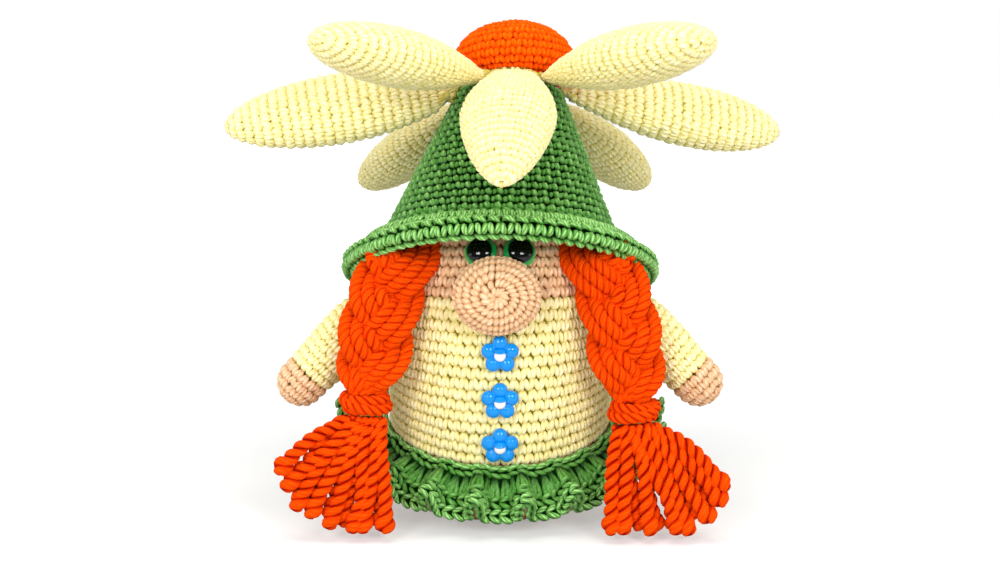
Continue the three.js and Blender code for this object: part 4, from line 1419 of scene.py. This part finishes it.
@dataclass(frozen=True)
class PetalPlace:
    """How one petal lies: turned round the flower, raised over level, and rolled on its length."""

    name: str
    turn: float
    rise: float
    roll: float = 0.0
    stretch: float = 1.0
    root: float = 0.2
    widest: float = 0.58
    blunt: float = 2.0

    def swell(self, share: Array) -> tuple[Array, Array]:
        """The petal's half-width over its widest, and how flat it is, at shares of its length."""
        rise = np.sin(np.pi * np.clip(share, 0, self.widest) / (2 * self.widest))
        wide = lerp(self.root, 1, rise)
        flat = lerp(self.root * 0.6, 1, rise) / wide
        beyond = np.clip((share - self.widest) / (1 - self.widest), 0, 1)
        return np.where(share < self.widest, wide, (1 - beyond**self.blunt) ** (1 / self.blunt)), flat


PETALS = (
    PetalPlace("petal_front", -3, -23, root=0.5, widest=0.42, blunt=1.5),
    PetalPlace("petal_front_right", 39, 9.5, stretch=0.96),
    PetalPlace("petal_right", 97, -10.6, -29),
    PetalPlace("petal_back_right", 143, -27, -10, 0.93),
    PetalPlace("petal_back_left", -138, -26.5, 10, 0.955),
    PetalPlace("petal_left", -84, -9.3, 37, 1.055, root=0.3, widest=0.52),
    PetalPlace("petal_front_left", -41, 9.3, stretch=0.97),
)


@dataclass
class Daisy:
    """Seven stuffed petals round a domed orange middle."""

    hook: Hook
    middle_r: float = 24.6
    middle_rise: float = 17.0
    middle_sink: float = 10.6
    middle_shift: float = 1.6
    fit: float = 0.3
    petal_l: float = 92.5
    petal_w: float = 35.5
    petal_t: float = 21.5
    room: float = 0.7
    row: float = 4.0
    stitch: float = 3.4

    def middle(self, crown_h: float) -> None:
        """Makes the orange middle, worked from its foot to its top."""
        profile = egg(self.middle_r, self.middle_sink, self.middle_rise)
        base = np.array([crown_h * HAT.skew + self.middle_shift, 0.0, crown_h + self.middle_sink + self.fit])
        form = TurnedForm(profile, lambda local: HAT.place(local + base))
        end = form.length
        rounds = (
            Rows(Stitch.SINGLE, end * 0.18, end - 0.6, 3.7, 4.2, drift=0.12, spiral=True, size=1.05),
            Rows(Stitch.SINGLE, end - 4.4, end - 0.4, 4.0, 3.6, out=-0.2),
        )
        Crochet("daisy_middle", "daisy_middle", form, ORANGE, rounds, 0.9).make(self.hook)

    def petal(self, spec: PetalPlace) -> None:
        """Makes one petal, worked in rounds from its narrow root to its round tip."""
        share = np.sin(np.linspace(0, math.pi / 2, 120))
        length = self.petal_l * spec.stretch
        profile = np.stack([self.petal_w / 2 * spec.swell(share)[0], length * share], axis=1)
        profile = np.vstack([[0.0, 0.0], profile])
        profile[-1, 0] = 0.0
        lay = rotation(Axis.Z, spec.turn) @ rotation(Axis.X, -spec.rise)
        lay = lay @ rotation(Axis.Y, spec.roll) @ rotation(Axis.X, 90)
        hinge, limits = joint(f"{spec.name}_bend")

        def placed(local: Array) -> Array:
            """Flattens the root of the petal, lays it on its hinge and keeps it clear of the hat."""
            pressed = local.copy()
            pressed[:, 1] *= spec.swell(local[:, 2] / length)[1]
            laid = pressed @ lay.T
            for limit in limits:
                laid = (HAT.clear(laid @ limit.T + hinge, self.room) - hinge) @ limit
            return laid + hinge

        form = TurnedForm(profile, placed, (1.0, self.petal_t / self.petal_w))
        rows = Rows(Stitch.SINGLE, 2.6, form.length - 0.5, self.row, self.stitch, drift=0.08)
        body = f"{spec.name}_body"
        Crochet(spec.name, spec.name, form, CREAM, (rows,), 0.7, body, start=0.4).make(self.hook)

    def build(self, crown_h: float) -> None:
        """Makes the flower."""
        self.middle(crown_h)
        for spec in PETALS:
            self.petal(spec)


@dataclass
class Face:
    """Two domed safety eyes behind a big round nose."""

    hook: Hook
    eye_r: float = 6.0
    eye_rise: float = 3.6
    flange: float = 1.0
    eye_gap: float = 13.8
    eye_h: float = 102.0
    fit: float = 0.3
    stem_r: float = 1.5
    stem_l: float = 9.0
    across: int = 48
    edge_rings: int = 4
    nose_r: float = 16.4
    nose_t: float = 19.0
    nose_h: float = 89.7
    nose_side: float = -1.1
    nose_out: float = 6.4
    nose_squash: float = 0.89
    nose_tilt: float = 6.0
    nose_stitch: float = 2.05

    def eye(self, label: str, side: int) -> None:
        """Makes one eye: a rimmed dome on its stem, with each point's distance out kept as its rim."""
        body_r = float(SPINE.radius(self.eye_h))
        turn = math.degrees(math.asin(self.eye_gap / 2 / body_r))
        sagitta = self.eye_r**2 / (2 * body_r)
        matrix, point = SPINE.skin_frame(self.eye_h, side * turn, sagitta + self.fit)
        dome = np.linspace(0.12, math.pi / 2, 20)[:-1]
        height = self.flange + (self.eye_rise - 0.1) * np.sin(dome)
        profile = np.array([
            [self.stem_r * 0.7, -self.stem_l], [self.stem_r, -self.stem_l + 0.5], [self.stem_r, 0.0],
            [self.eye_r - 0.25, 0.0], [self.eye_r, 0.25], [self.eye_r, self.flange - 0.1],
            [self.eye_r - 0.12, self.flange + 0.15],
            *np.stack([(self.eye_r - 0.35) * np.cos(dome), height], axis=1),
        ])
        rings = turned(profile, self.across) @ matrix.T + point
        piece = moulded(f"eye_{label}_dome", EYE_PLASTIC, f"eye_{label}", rings)
        rim = np.r_[np.repeat(profile[:, 0] / self.eye_r, self.across), 0.0, 0.0]
        rim[: self.across * self.edge_rings] = 1.0
        keep(piece.data, "rim", rim)

    def nose(self) -> None:
        """Makes the nose, a flattened ball worked in one long spiral."""
        matrix, centre = SPINE.frame_at(self.nose_h)
        middle = np.array([self.nose_side, -float(SPINE.radius(self.nose_h)) - self.nose_out, 0.0])
        origin = matrix @ middle + centre
        lay = rotation(Axis.X, 90 - self.nose_tilt)
        profile = egg(self.nose_r, self.nose_t / 2, self.nose_t / 2)
        form = TurnedForm(profile, lambda local: local @ lay.T + origin, (1.0, self.nose_squash))
        end, width = form.length, self.nose_stitch
        rounds = (
            Rows(Stitch.ROPE, end * 0.16, end - 2.2, 3.7, width, spiral=True, multiple=1),
            Rows(Stitch.ROPE, end - 4.1, end - 0.3, 3.8, width, multiple=1, least=7, out=-0.15),
        )
        Crochet("nose", "nose", form, SKIN, rounds, 0.9, sunk=1.5).make(self.hook)

    def build(self) -> None:
        """Makes the face, and finishes the washers behind the eyes."""
        for label, side in HANDS:
            self.eye(label, side)
            refinished(f"eye_washer_{label}", WASHER_PLASTIC)
        self.nose()


@dataclass
class Buttons:
    """Three five-lobed flower buttons, each with a white bead under a small blue lip."""

    radius: float = 7.1
    lobes: int = 5
    lobe_share: float = 0.4
    thickness: float = 4.6
    bead_r: float = 2.2
    rise: float = 8.2
    step: float = 14.4
    blend: float = 14.0
    lip_lean: float = -80.0
    lip_reach: float = 62.0

    def height(self, x: Array, y: Array) -> Array:
        """The button's upper face over its middle plane: five domes joined by soft valleys."""
        lobe_r = self.radius * self.lobe_share
        reach = self.radius - lobe_r
        domes = []
        for index in range(self.lobes):
            angle = math.pi / 2 + TAU * index / self.lobes
            gap = np.hypot(x - reach * math.cos(angle), y - reach * math.sin(angle))
            domes.append(np.sqrt(np.clip(1 - (gap / (lobe_r * 1.06)) ** 2, 0, 1)))
        boss = 0.5 * np.sqrt(np.clip(1 - (np.hypot(x, y) / (self.radius * 0.52)) ** 2, 0, 1))
        soft = np.log(np.exp(self.blend * np.stack([*domes, boss])).sum(0)) / self.blend
        floor = math.log(self.lobes + 1) / self.blend
        return np.maximum(soft - floor, 0) * self.thickness / 2 * 1.12

    def outline(self, turn: Array) -> Array:
        """The button's outline: how far out its edge lies in each direction."""
        lobe_r = self.radius * self.lobe_share
        reach = self.radius - lobe_r
        sector = TAU / self.lobes
        local = np.mod(turn - math.pi / 2 + sector / 2, sector) - sector / 2
        return reach * np.cos(local) + np.sqrt(np.clip(lobe_r**2 - (reach * np.sin(local)) ** 2, 0.35, None))

    def flower(self) -> Array:
        """Rings of points over the button, from the middle of its back to that of its face."""
        turn = TAU * np.arange(120) / 120
        reach = np.sin(np.linspace(0.03, math.pi / 2, 22))[:, None] * self.outline(turn)
        x, y = reach * np.cos(turn), reach * np.sin(turn)
        upper = np.stack([x, y, self.height(x, y)], axis=-1)
        under = np.stack([x, y, -self.height(x, y) * 0.9 - 0.15], axis=-1)
        return np.concatenate([under, upper[::-1]])

    def lip(self) -> Array:
        """Rings of points over the lip that laps the upper half of the bead."""
        radius = self.bead_r + 0.55
        tilt = np.linspace(0.0, 1.0, 9)[:, None] * math.radians(self.lip_reach)
        sweep = TAU * np.arange(40)[None] / 40
        away = np.stack([
            np.sin(tilt) * np.cos(sweep), np.sin(tilt) * np.sin(sweep), np.cos(tilt) + 0 * sweep
        ], axis=-1) @ rotation(Axis.X, self.lip_lean).T
        rings = np.concatenate([away[1:] * (radius - 0.45), (away[1:] * radius)[::-1]])
        return rings + np.array([0.0, 0.0, self.thickness * 0.3])

    def build(self) -> None:
        """Makes the three buttons and their beads."""
        for index, name in enumerate(("button_bottom", "button_middle", "button_top")):
            height = SPINE.skirt_h + self.rise + self.step * index
            matrix, point = SPINE.skin_frame(height, 0, self.thickness / 2 - 0.2)
            skins = [rings @ matrix.T + point for rings in (self.flower(), self.lip())]
            moulded(f"{name}_flower", BLUE_PLASTIC, name, *skins)
            centre = point + matrix @ np.array([0, -0.25, self.thickness * 0.3])
            moulded(f"{name}_pearl", WHITE_BEAD, f"{name}_bead", ball(centre, self.bead_r))


@dataclass
class Arms:
    """Two stuffed arms: cream sleeves with skin-coloured hands."""

    hook: Hook
    length: float = 58.5
    radius: float = 10.8
    tip_r: float = 9.5
    root_r: float = 7.0
    hand_l: float = 14.0
    slope: float = 45.5
    forward: float = 4.0
    fit: float = 0.3
    row: float = 3.5
    stitch: float = 3.9

    def form(self, side: int, label: str) -> TurnedForm:
        """The whole arm's surface, from its shoulder to its fingertips."""
        tip_start = self.length - self.tip_r
        z = np.linspace(self.root_r, tip_start, 40)
        share = z / tip_start
        thick = lerp(self.radius, self.tip_r, smoothstep(share, 0.5, 1))
        bulk = np.stack([lerp(self.root_r, thick, smoothstep(share, 0, 0.4)), z], axis=1)
        quarter = np.linspace(0, math.pi / 2, 16)
        root = self.root_r * np.stack([np.sin(quarter), 1 - np.cos(quarter)], axis=1)
        tip = np.stack([self.tip_r * np.cos(quarter), tip_start + self.tip_r * np.sin(quarter)], axis=1)
        tip[-1, 0] = 0.0
        slope = math.radians(self.slope)
        ahead = math.sin(math.radians(self.forward))
        along = unit(np.array([side * math.cos(slope), -ahead, -math.sin(slope)]))
        start = joint(f"arm_{label}_lift")[0] - along * self.root_r
        lay = aimed(along)
        return TurnedForm(np.vstack([root[:-1], bulk, tip[1:]]), lambda local: local @ lay.T + start)

    def build(self) -> None:
        """Makes both arms."""
        for label, side in HANDS:
            form = self.form(side, label)
            wrist = form.along_at(self.length - self.hand_l)
            hand = wrist + self.fit
            parts = (
                ("sleeve", CREAM, "arm_sleeve", 0.0, wrist, 1.2, wrist),
                ("hand", SKIN, "hand", hand, form.length, hand, form.length - 0.6),
            )
            for part, finish, node, start, end, first, last in parts:
                rows = Rows(Stitch.SINGLE, first, last, self.row, self.stitch)
                names = f"{part}_{label}", f"{node}_{label}"
                Crochet(*names, form, finish, (rows,), 0.8, f"arm_{label}", start, end).make(self.hook)


@dataclass(frozen=True)
class TasselRow:
    """One row of a tassel's cords: angles in degrees, lengths in millimetres."""

    count: int
    inner: float
    outer: float
    forward: float
    long: float
    short: float


@dataclass
class Plaits:
    """Two plaits of orange cord, each with a wrapped tie and a loose tassel."""

    hook: Hook
    bundle_swing: float = 7.6
    bundle_depth: float = 4.6
    pitch: float = 52.0
    mid: tuple[float, float, float] = (45.0, -45.0, 78.0)
    neck: tuple[float, float] = (49.8, -46.0)
    neck_left: float = 53.0
    neck_right: float = 50.0
    ring_r: float = 6.1
    tie_widen: float = 1.15
    knot_r: float = 6.192
    spread_left: float = 1.0
    spread_right: float = 1.07
    cord_r: float = 2.75
    cord_gap: float = 4.7
    plait_cord: Cord = Cord(3, 2.65, 1.42, 8.8)
    tie_cord: Cord = Cord(3, 2.2, 1.12, 9.0)
    tassel_cord: Cord = Cord(2, 2.95, 1.6, 8.8)

    ROOT_LIFTS: ClassVar = (2.5, 0.0, 5.0)
    TIE_TURNS: ClassVar = ((-1.9, 0.0), (-5.0, 0.0), (-3.4, 2.0))
    TASSEL_ROWS: ClassVar = (TasselRow(8, -13, 64, 12.5, 42.5, 38), TasselRow(7, -9, 58, 8, 40, 36))

    def neck_at(self, side: int) -> Array:
        """The middle of a plait's tied neck."""
        return np.array([side * self.neck[0], self.neck[1], self.neck_left if side < 0 else self.neck_right])

    def bundle(self, side: int, label: str, index: int) -> Array:
        """The centre line of one of a plait's three bundles."""
        root, _ = joint(f"plait_{label}_swing")
        crown = root + np.array([-side * 1.5, 1.0, self.ROOT_LIFTS[index]])
        knots = (crown, root, np.array([side * self.mid[0], *self.mid[1:]]), self.neck_at(side))
        line = evenly(resampled(knots, 120), 90)
        share = np.linspace(0, 1, len(line))
        phase = TAU * (walked(line)[-1] / self.pitch * share + index / 3)
        tight = 1 - 0.72 * smoothstep(share, 0.72, 1)
        fan = 1 + (0.2 if index == 2 else 0.0) * (1 - smoothstep(share, 0, 0.28))
        line[:, 0] += side * self.bundle_swing * tight * fan * np.sin(phase)
        line[:, 1] += self.bundle_depth * tight * np.sin(2 * phase)
        return line

    def plait(self, side: int, label: str) -> None:
        """Makes a plait: three bundles of three cords that pass over each other."""
        mesh = YarnMesh()
        for index in range(3):
            line = self.bundle(side, label, index)
            along = unit(np.gradient(line, axis=0))
            across = unit(np.cross(along, (0.0, -1.0, 0.0)))
            front = np.cross(across, along)
            draw = 1 - 0.5 * smoothstep(np.linspace(0, 1, len(line)), 0.8, 1)
            for lane in (-1, 0, 1):
                path = line + across * (lane * self.cord_gap * draw)[:, None]
                path = path - front * ((abs(lane) * 0.9 - 0.6) * draw)[:, None]
                tint = float(self.hook.tints(0.5, 1, 0.12)[0])
                self.plait_cord.add(mesh, evenly(path, 110), tint, self.hook.random.random())
        piece = mesh.build(f"plait_{label}_cords", HAIR.material())
        dressed(piece, f"plait_{label}_body", HAIR.slot, f"plait_{label}")

    def tie(self, side: int, label: str) -> None:
        """Makes the cord wrapped round a plait's neck, with one turn slanting over the rest."""
        mesh = YarnMesh()
        angle = np.linspace(0, TAU, 64)
        for index, (drop, slant) in enumerate(self.TIE_TURNS):
            reach = self.ring_r + (0.9 if slant else 0.0)
            rise = drop + slant * np.sin(angle + side * 0.9)
            line = np.stack([reach * self.tie_widen * np.cos(angle), reach * np.sin(angle), rise], axis=1)
            self.tie_cord.add(mesh, line + self.neck_at(side), 0.45 + 0.1 * index, 0.2 * index)
        piece = mesh.build(f"tie_{label}_cord", HAIR.material())
        dressed(piece, f"plait_{label}_body", HAIR.slot, f"plait_tie_{label}")

    def strands(self, side: int, knot: Array) -> list[Array]:
        """The centre lines of a tassel's loose cords, front row first."""
        random = self.hook.random
        spread = self.spread_left if side < 0 else self.spread_right
        lines = []
        for row in self.TASSEL_ROWS:
            for share in np.linspace(0, 1, row.count):
                fan = math.radians(lerp(row.inner, row.outer, share) + random.normal(0, 1.7))
                reach = lerp(row.long, row.short, share**2) * spread - self.cord_r + random.normal(0, 1.0)
                tip = np.array([
                    knot[0] + side * reach * math.sin(fan),
                    knot[1] - row.forward * spread**2,
                    max(knot[2] + self.cord_r - reach * math.cos(fan), self.cord_r + 0.3),
                ])
                start = knot + np.array([side * lerp(-6.0, 6.5, share), -row.forward * 0.3, 6.8])
                bend = lerp(start, tip, 0.45) + np.array([side * fan * 1.4, -2.4, 1.0 + 1.2 * max(fan, 0)])
                line = evenly(resampled((start, bend, tip), 80), 60)
                sway = random.normal(0, 0.9) * np.sin(np.linspace(0, TAU * random.uniform(0.7, 1.2), 60))
                line[:, 0] += sway * math.cos(fan)
                line[:, 2] += side * sway * math.sin(fan)
                lines.append(line)
        return lines

    def tassel(self, side: int, label: str) -> None:
        """Makes a tassel: cords that spread from under the tie, each ending in a round knob."""
        mesh = YarnMesh()
        knot, _ = joint(f"tassel_{label}_swing")
        for line in self.strands(side, knot):
            tint = float(self.hook.tints(0.5, 1, 0.14)[0])
            self.tassel_cord.add(mesh, line, tint, self.hook.random.random(), (0.86, 1.04), round_end=True)
        mesh.surface(ball(knot + np.array([0, 0, 1.0]), self.knot_r, 0.9))
        piece = mesh.build(f"tassel_{label}_cords", HAIR.material())
        dressed(piece, f"tassel_{label}_body", HAIR.slot, f"tassel_{label}")

    def build(self) -> None:
        """Makes both plaits."""
        for label, side in HANDS:
            self.plait(side, label)
            self.tie(side, label)
            self.tassel(side, label)


# The studio


@dataclass(frozen=True)
class Lamp:
    """A soft box: where it hangs, how wide and how strong it is."""

    name: str
    place: tuple[float, float, float]
    width: float
    height: float
    power: float

    def hang(self, aim: Vector) -> None:
        """Adds the lamp to the scene, facing a point."""
        light = bpy.data.lights.new(self.name, "AREA")
        light.shape = "RECTANGLE"
        light.size, light.size_y = self.width, self.height
        light.energy = self.power
        made = bpy.data.objects.new(self.name, light)
        made.location = self.place
        made.rotation_euler = (aim - Vector(self.place)).to_track_quat("-Z", "Y").to_euler()
        bpy.context.scene.collection.objects.link(made)


@dataclass
class Studio:
    """A white floor and backdrop, soft lamps and the camera."""

    distance: float = 0.62
    elevation: float = 8.0
    target: tuple[float, float, float] = (0.0, 0.0, 0.0884)
    aim: tuple[float, float, float] = (0.0, 0.0, 0.09)
    lens: float = 56.2
    sensor: float = 36.0
    floor_half: float = 3.0
    # Glow of the floor next to the doll, lower than far off: painted shade round the doll.
    floor_glow: float = 0.34
    paper: float = 0.7
    sky: float = 0.5
    room: float = 0.15

    LAMPS: ClassVar = (
        Lamp("Overhead box", (0.0, -0.2, 0.95), 0.8, 0.6, 3.9),
        Lamp("Front left box", (-0.40, -0.92, 0.45), 0.3, 0.3, 4.3),
        Lamp("Front right box", (0.40, -0.92, 0.45), 0.3, 0.3, 4.3),
        Lamp("Left box", (-0.85, -0.25, 0.35), 0.5, 0.6, 1.4),
        Lamp("Right box", (0.85, -0.25, 0.35), 0.5, 0.6, 1.4),
    )

    def camera(self) -> None:
        """Adds the camera at the photograph's angle."""
        data = bpy.data.cameras.new("Camera")
        data.lens, data.sensor_width = self.lens, self.sensor
        data.clip_start, data.clip_end = 0.01, 20
        made = bpy.data.objects.new("Camera", data)
        tilt = math.radians(self.elevation)
        back = Vector((0, -math.cos(tilt), math.sin(tilt)))
        made.location = Vector(self.target) + back * self.distance
        made.rotation_euler = (-back).to_track_quat("-Z", "Y").to_euler()
        bpy.context.scene.collection.objects.link(made)
        bpy.context.scene.camera = made

    def floor(self) -> None:
        """Adds the floor, white in view far off; near the doll its glow is dimmed, a painted darkening round
        the doll, in which the doll's soft shadow shows.
        """
        half = self.floor_half
        mesh = bpy.data.meshes.new("floor")
        corners = [(-half, -half, 0), (half, -half, 0), (half, half, 0), (-half, half, 0)]
        mesh.from_pydata(corners, [], [(0, 1, 2, 3)])
        made = bpy.data.objects.new("floor", mesh)
        made.location.z = -0.0002
        bpy.context.scene.collection.objects.link(made)
        material, shader = new_material("Floor paper")
        place = shader.node("TexCoord", {}).outputs["Object"]
        away = shader.node("VectorMath", {0: place}, operation="LENGTH").outputs["Value"]
        ahead = shader.node("SeparateXYZ", {0: place}).outputs["Y"]
        seen = shader.node("LightPath", {}).outputs
        mirrored = shader.math("MULTIPLY", seen["Is Glossy Ray"], shader.remap(ahead, -0.1, 0.3, 0.0, 1.0))
        views = shader.math("MAXIMUM", seen["Is Camera Ray"], mirrored)
        views = shader.math("MAXIMUM", views, seen["Is Transmission Ray"])
        # The glow dims towards the doll, a painted darkening round it that deepens its real shadow.
        strength = shader.math("MULTIPLY", views, shader.remap(away, 0.16, 0.6, self.floor_glow, 1.0))
        paper = shader.node("BsdfDiffuse", {"Color": (self.paper, self.paper, self.paper, 1)})
        glow = shader.node("Emission", {"Color": (1, 1, 1, 1), "Strength": strength})
        both = shader.node("AddShader", {0: paper.outputs[0], 1: glow.outputs[0]})
        shader.node("OutputMaterial", {"Surface": both.outputs[0]})
        mesh.materials.append(material)

    def world(self) -> None:
        """Makes the backdrop: white to the camera and in reflections, gentler as a light."""
        world = bpy.data.worlds.new("Backdrop")
        bpy.context.scene.world = world
        world.use_nodes = True
        shader = ShaderTree(world.node_tree)
        seen = shader.node("LightPath", {}).outputs
        views = shader.math("MAXIMUM", seen["Is Camera Ray"], seen["Is Transmission Ray"])
        place = shader.node("TexCoord", {}).outputs["Generated"]
        ahead = shader.node("SeparateXYZ", {0: place}).outputs["Y"]
        backdrop = shader.remap(ahead, -0.1, 0.3, self.room, 1.0)
        mirrored = shader.math("MULTIPLY", seen["Is Glossy Ray"], backdrop)
        diffuse = shader.math("MULTIPLY", shader.math("SUBTRACT", 1.0, seen["Is Glossy Ray"]), self.sky)
        strength = shader.math("MAXIMUM", views, shader.math("ADD", mirrored, diffuse))
        light = shader.node("Background", {"Color": (1, 1, 1, 1), "Strength": strength})
        shader.node("OutputWorld", {"Surface": light.outputs[0]})

    def build(self) -> None:
        """Sets up the studio."""
        bpy.context.scene.view_settings.view_transform = "Standard"
        self.camera()
        self.floor()
        self.world()
        for lamp in self.LAMPS:
            lamp.hang(Vector(self.aim))
        log.info("studio: %d lamps", len(self.LAMPS))


def main() -> None:
    """Builds the doll's sub-assemblies in order, and the studio round them."""
    logging.basicConfig(level=logging.INFO, format="%(name)s %(message)s")
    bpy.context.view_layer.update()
    Studio().build()
    hook = Hook(SEED)
    hat = Hat(hook)
    StuffedBody(hook).build()
    Skirt(hook).build()
    hat.build()
    Daisy(hook).build(hat.crown_h)
    Face(hook).build()
    Buttons().build()
    Arms(hook).build()
    Plaits(hook).build()


if __name__ == "__main__":
    main()
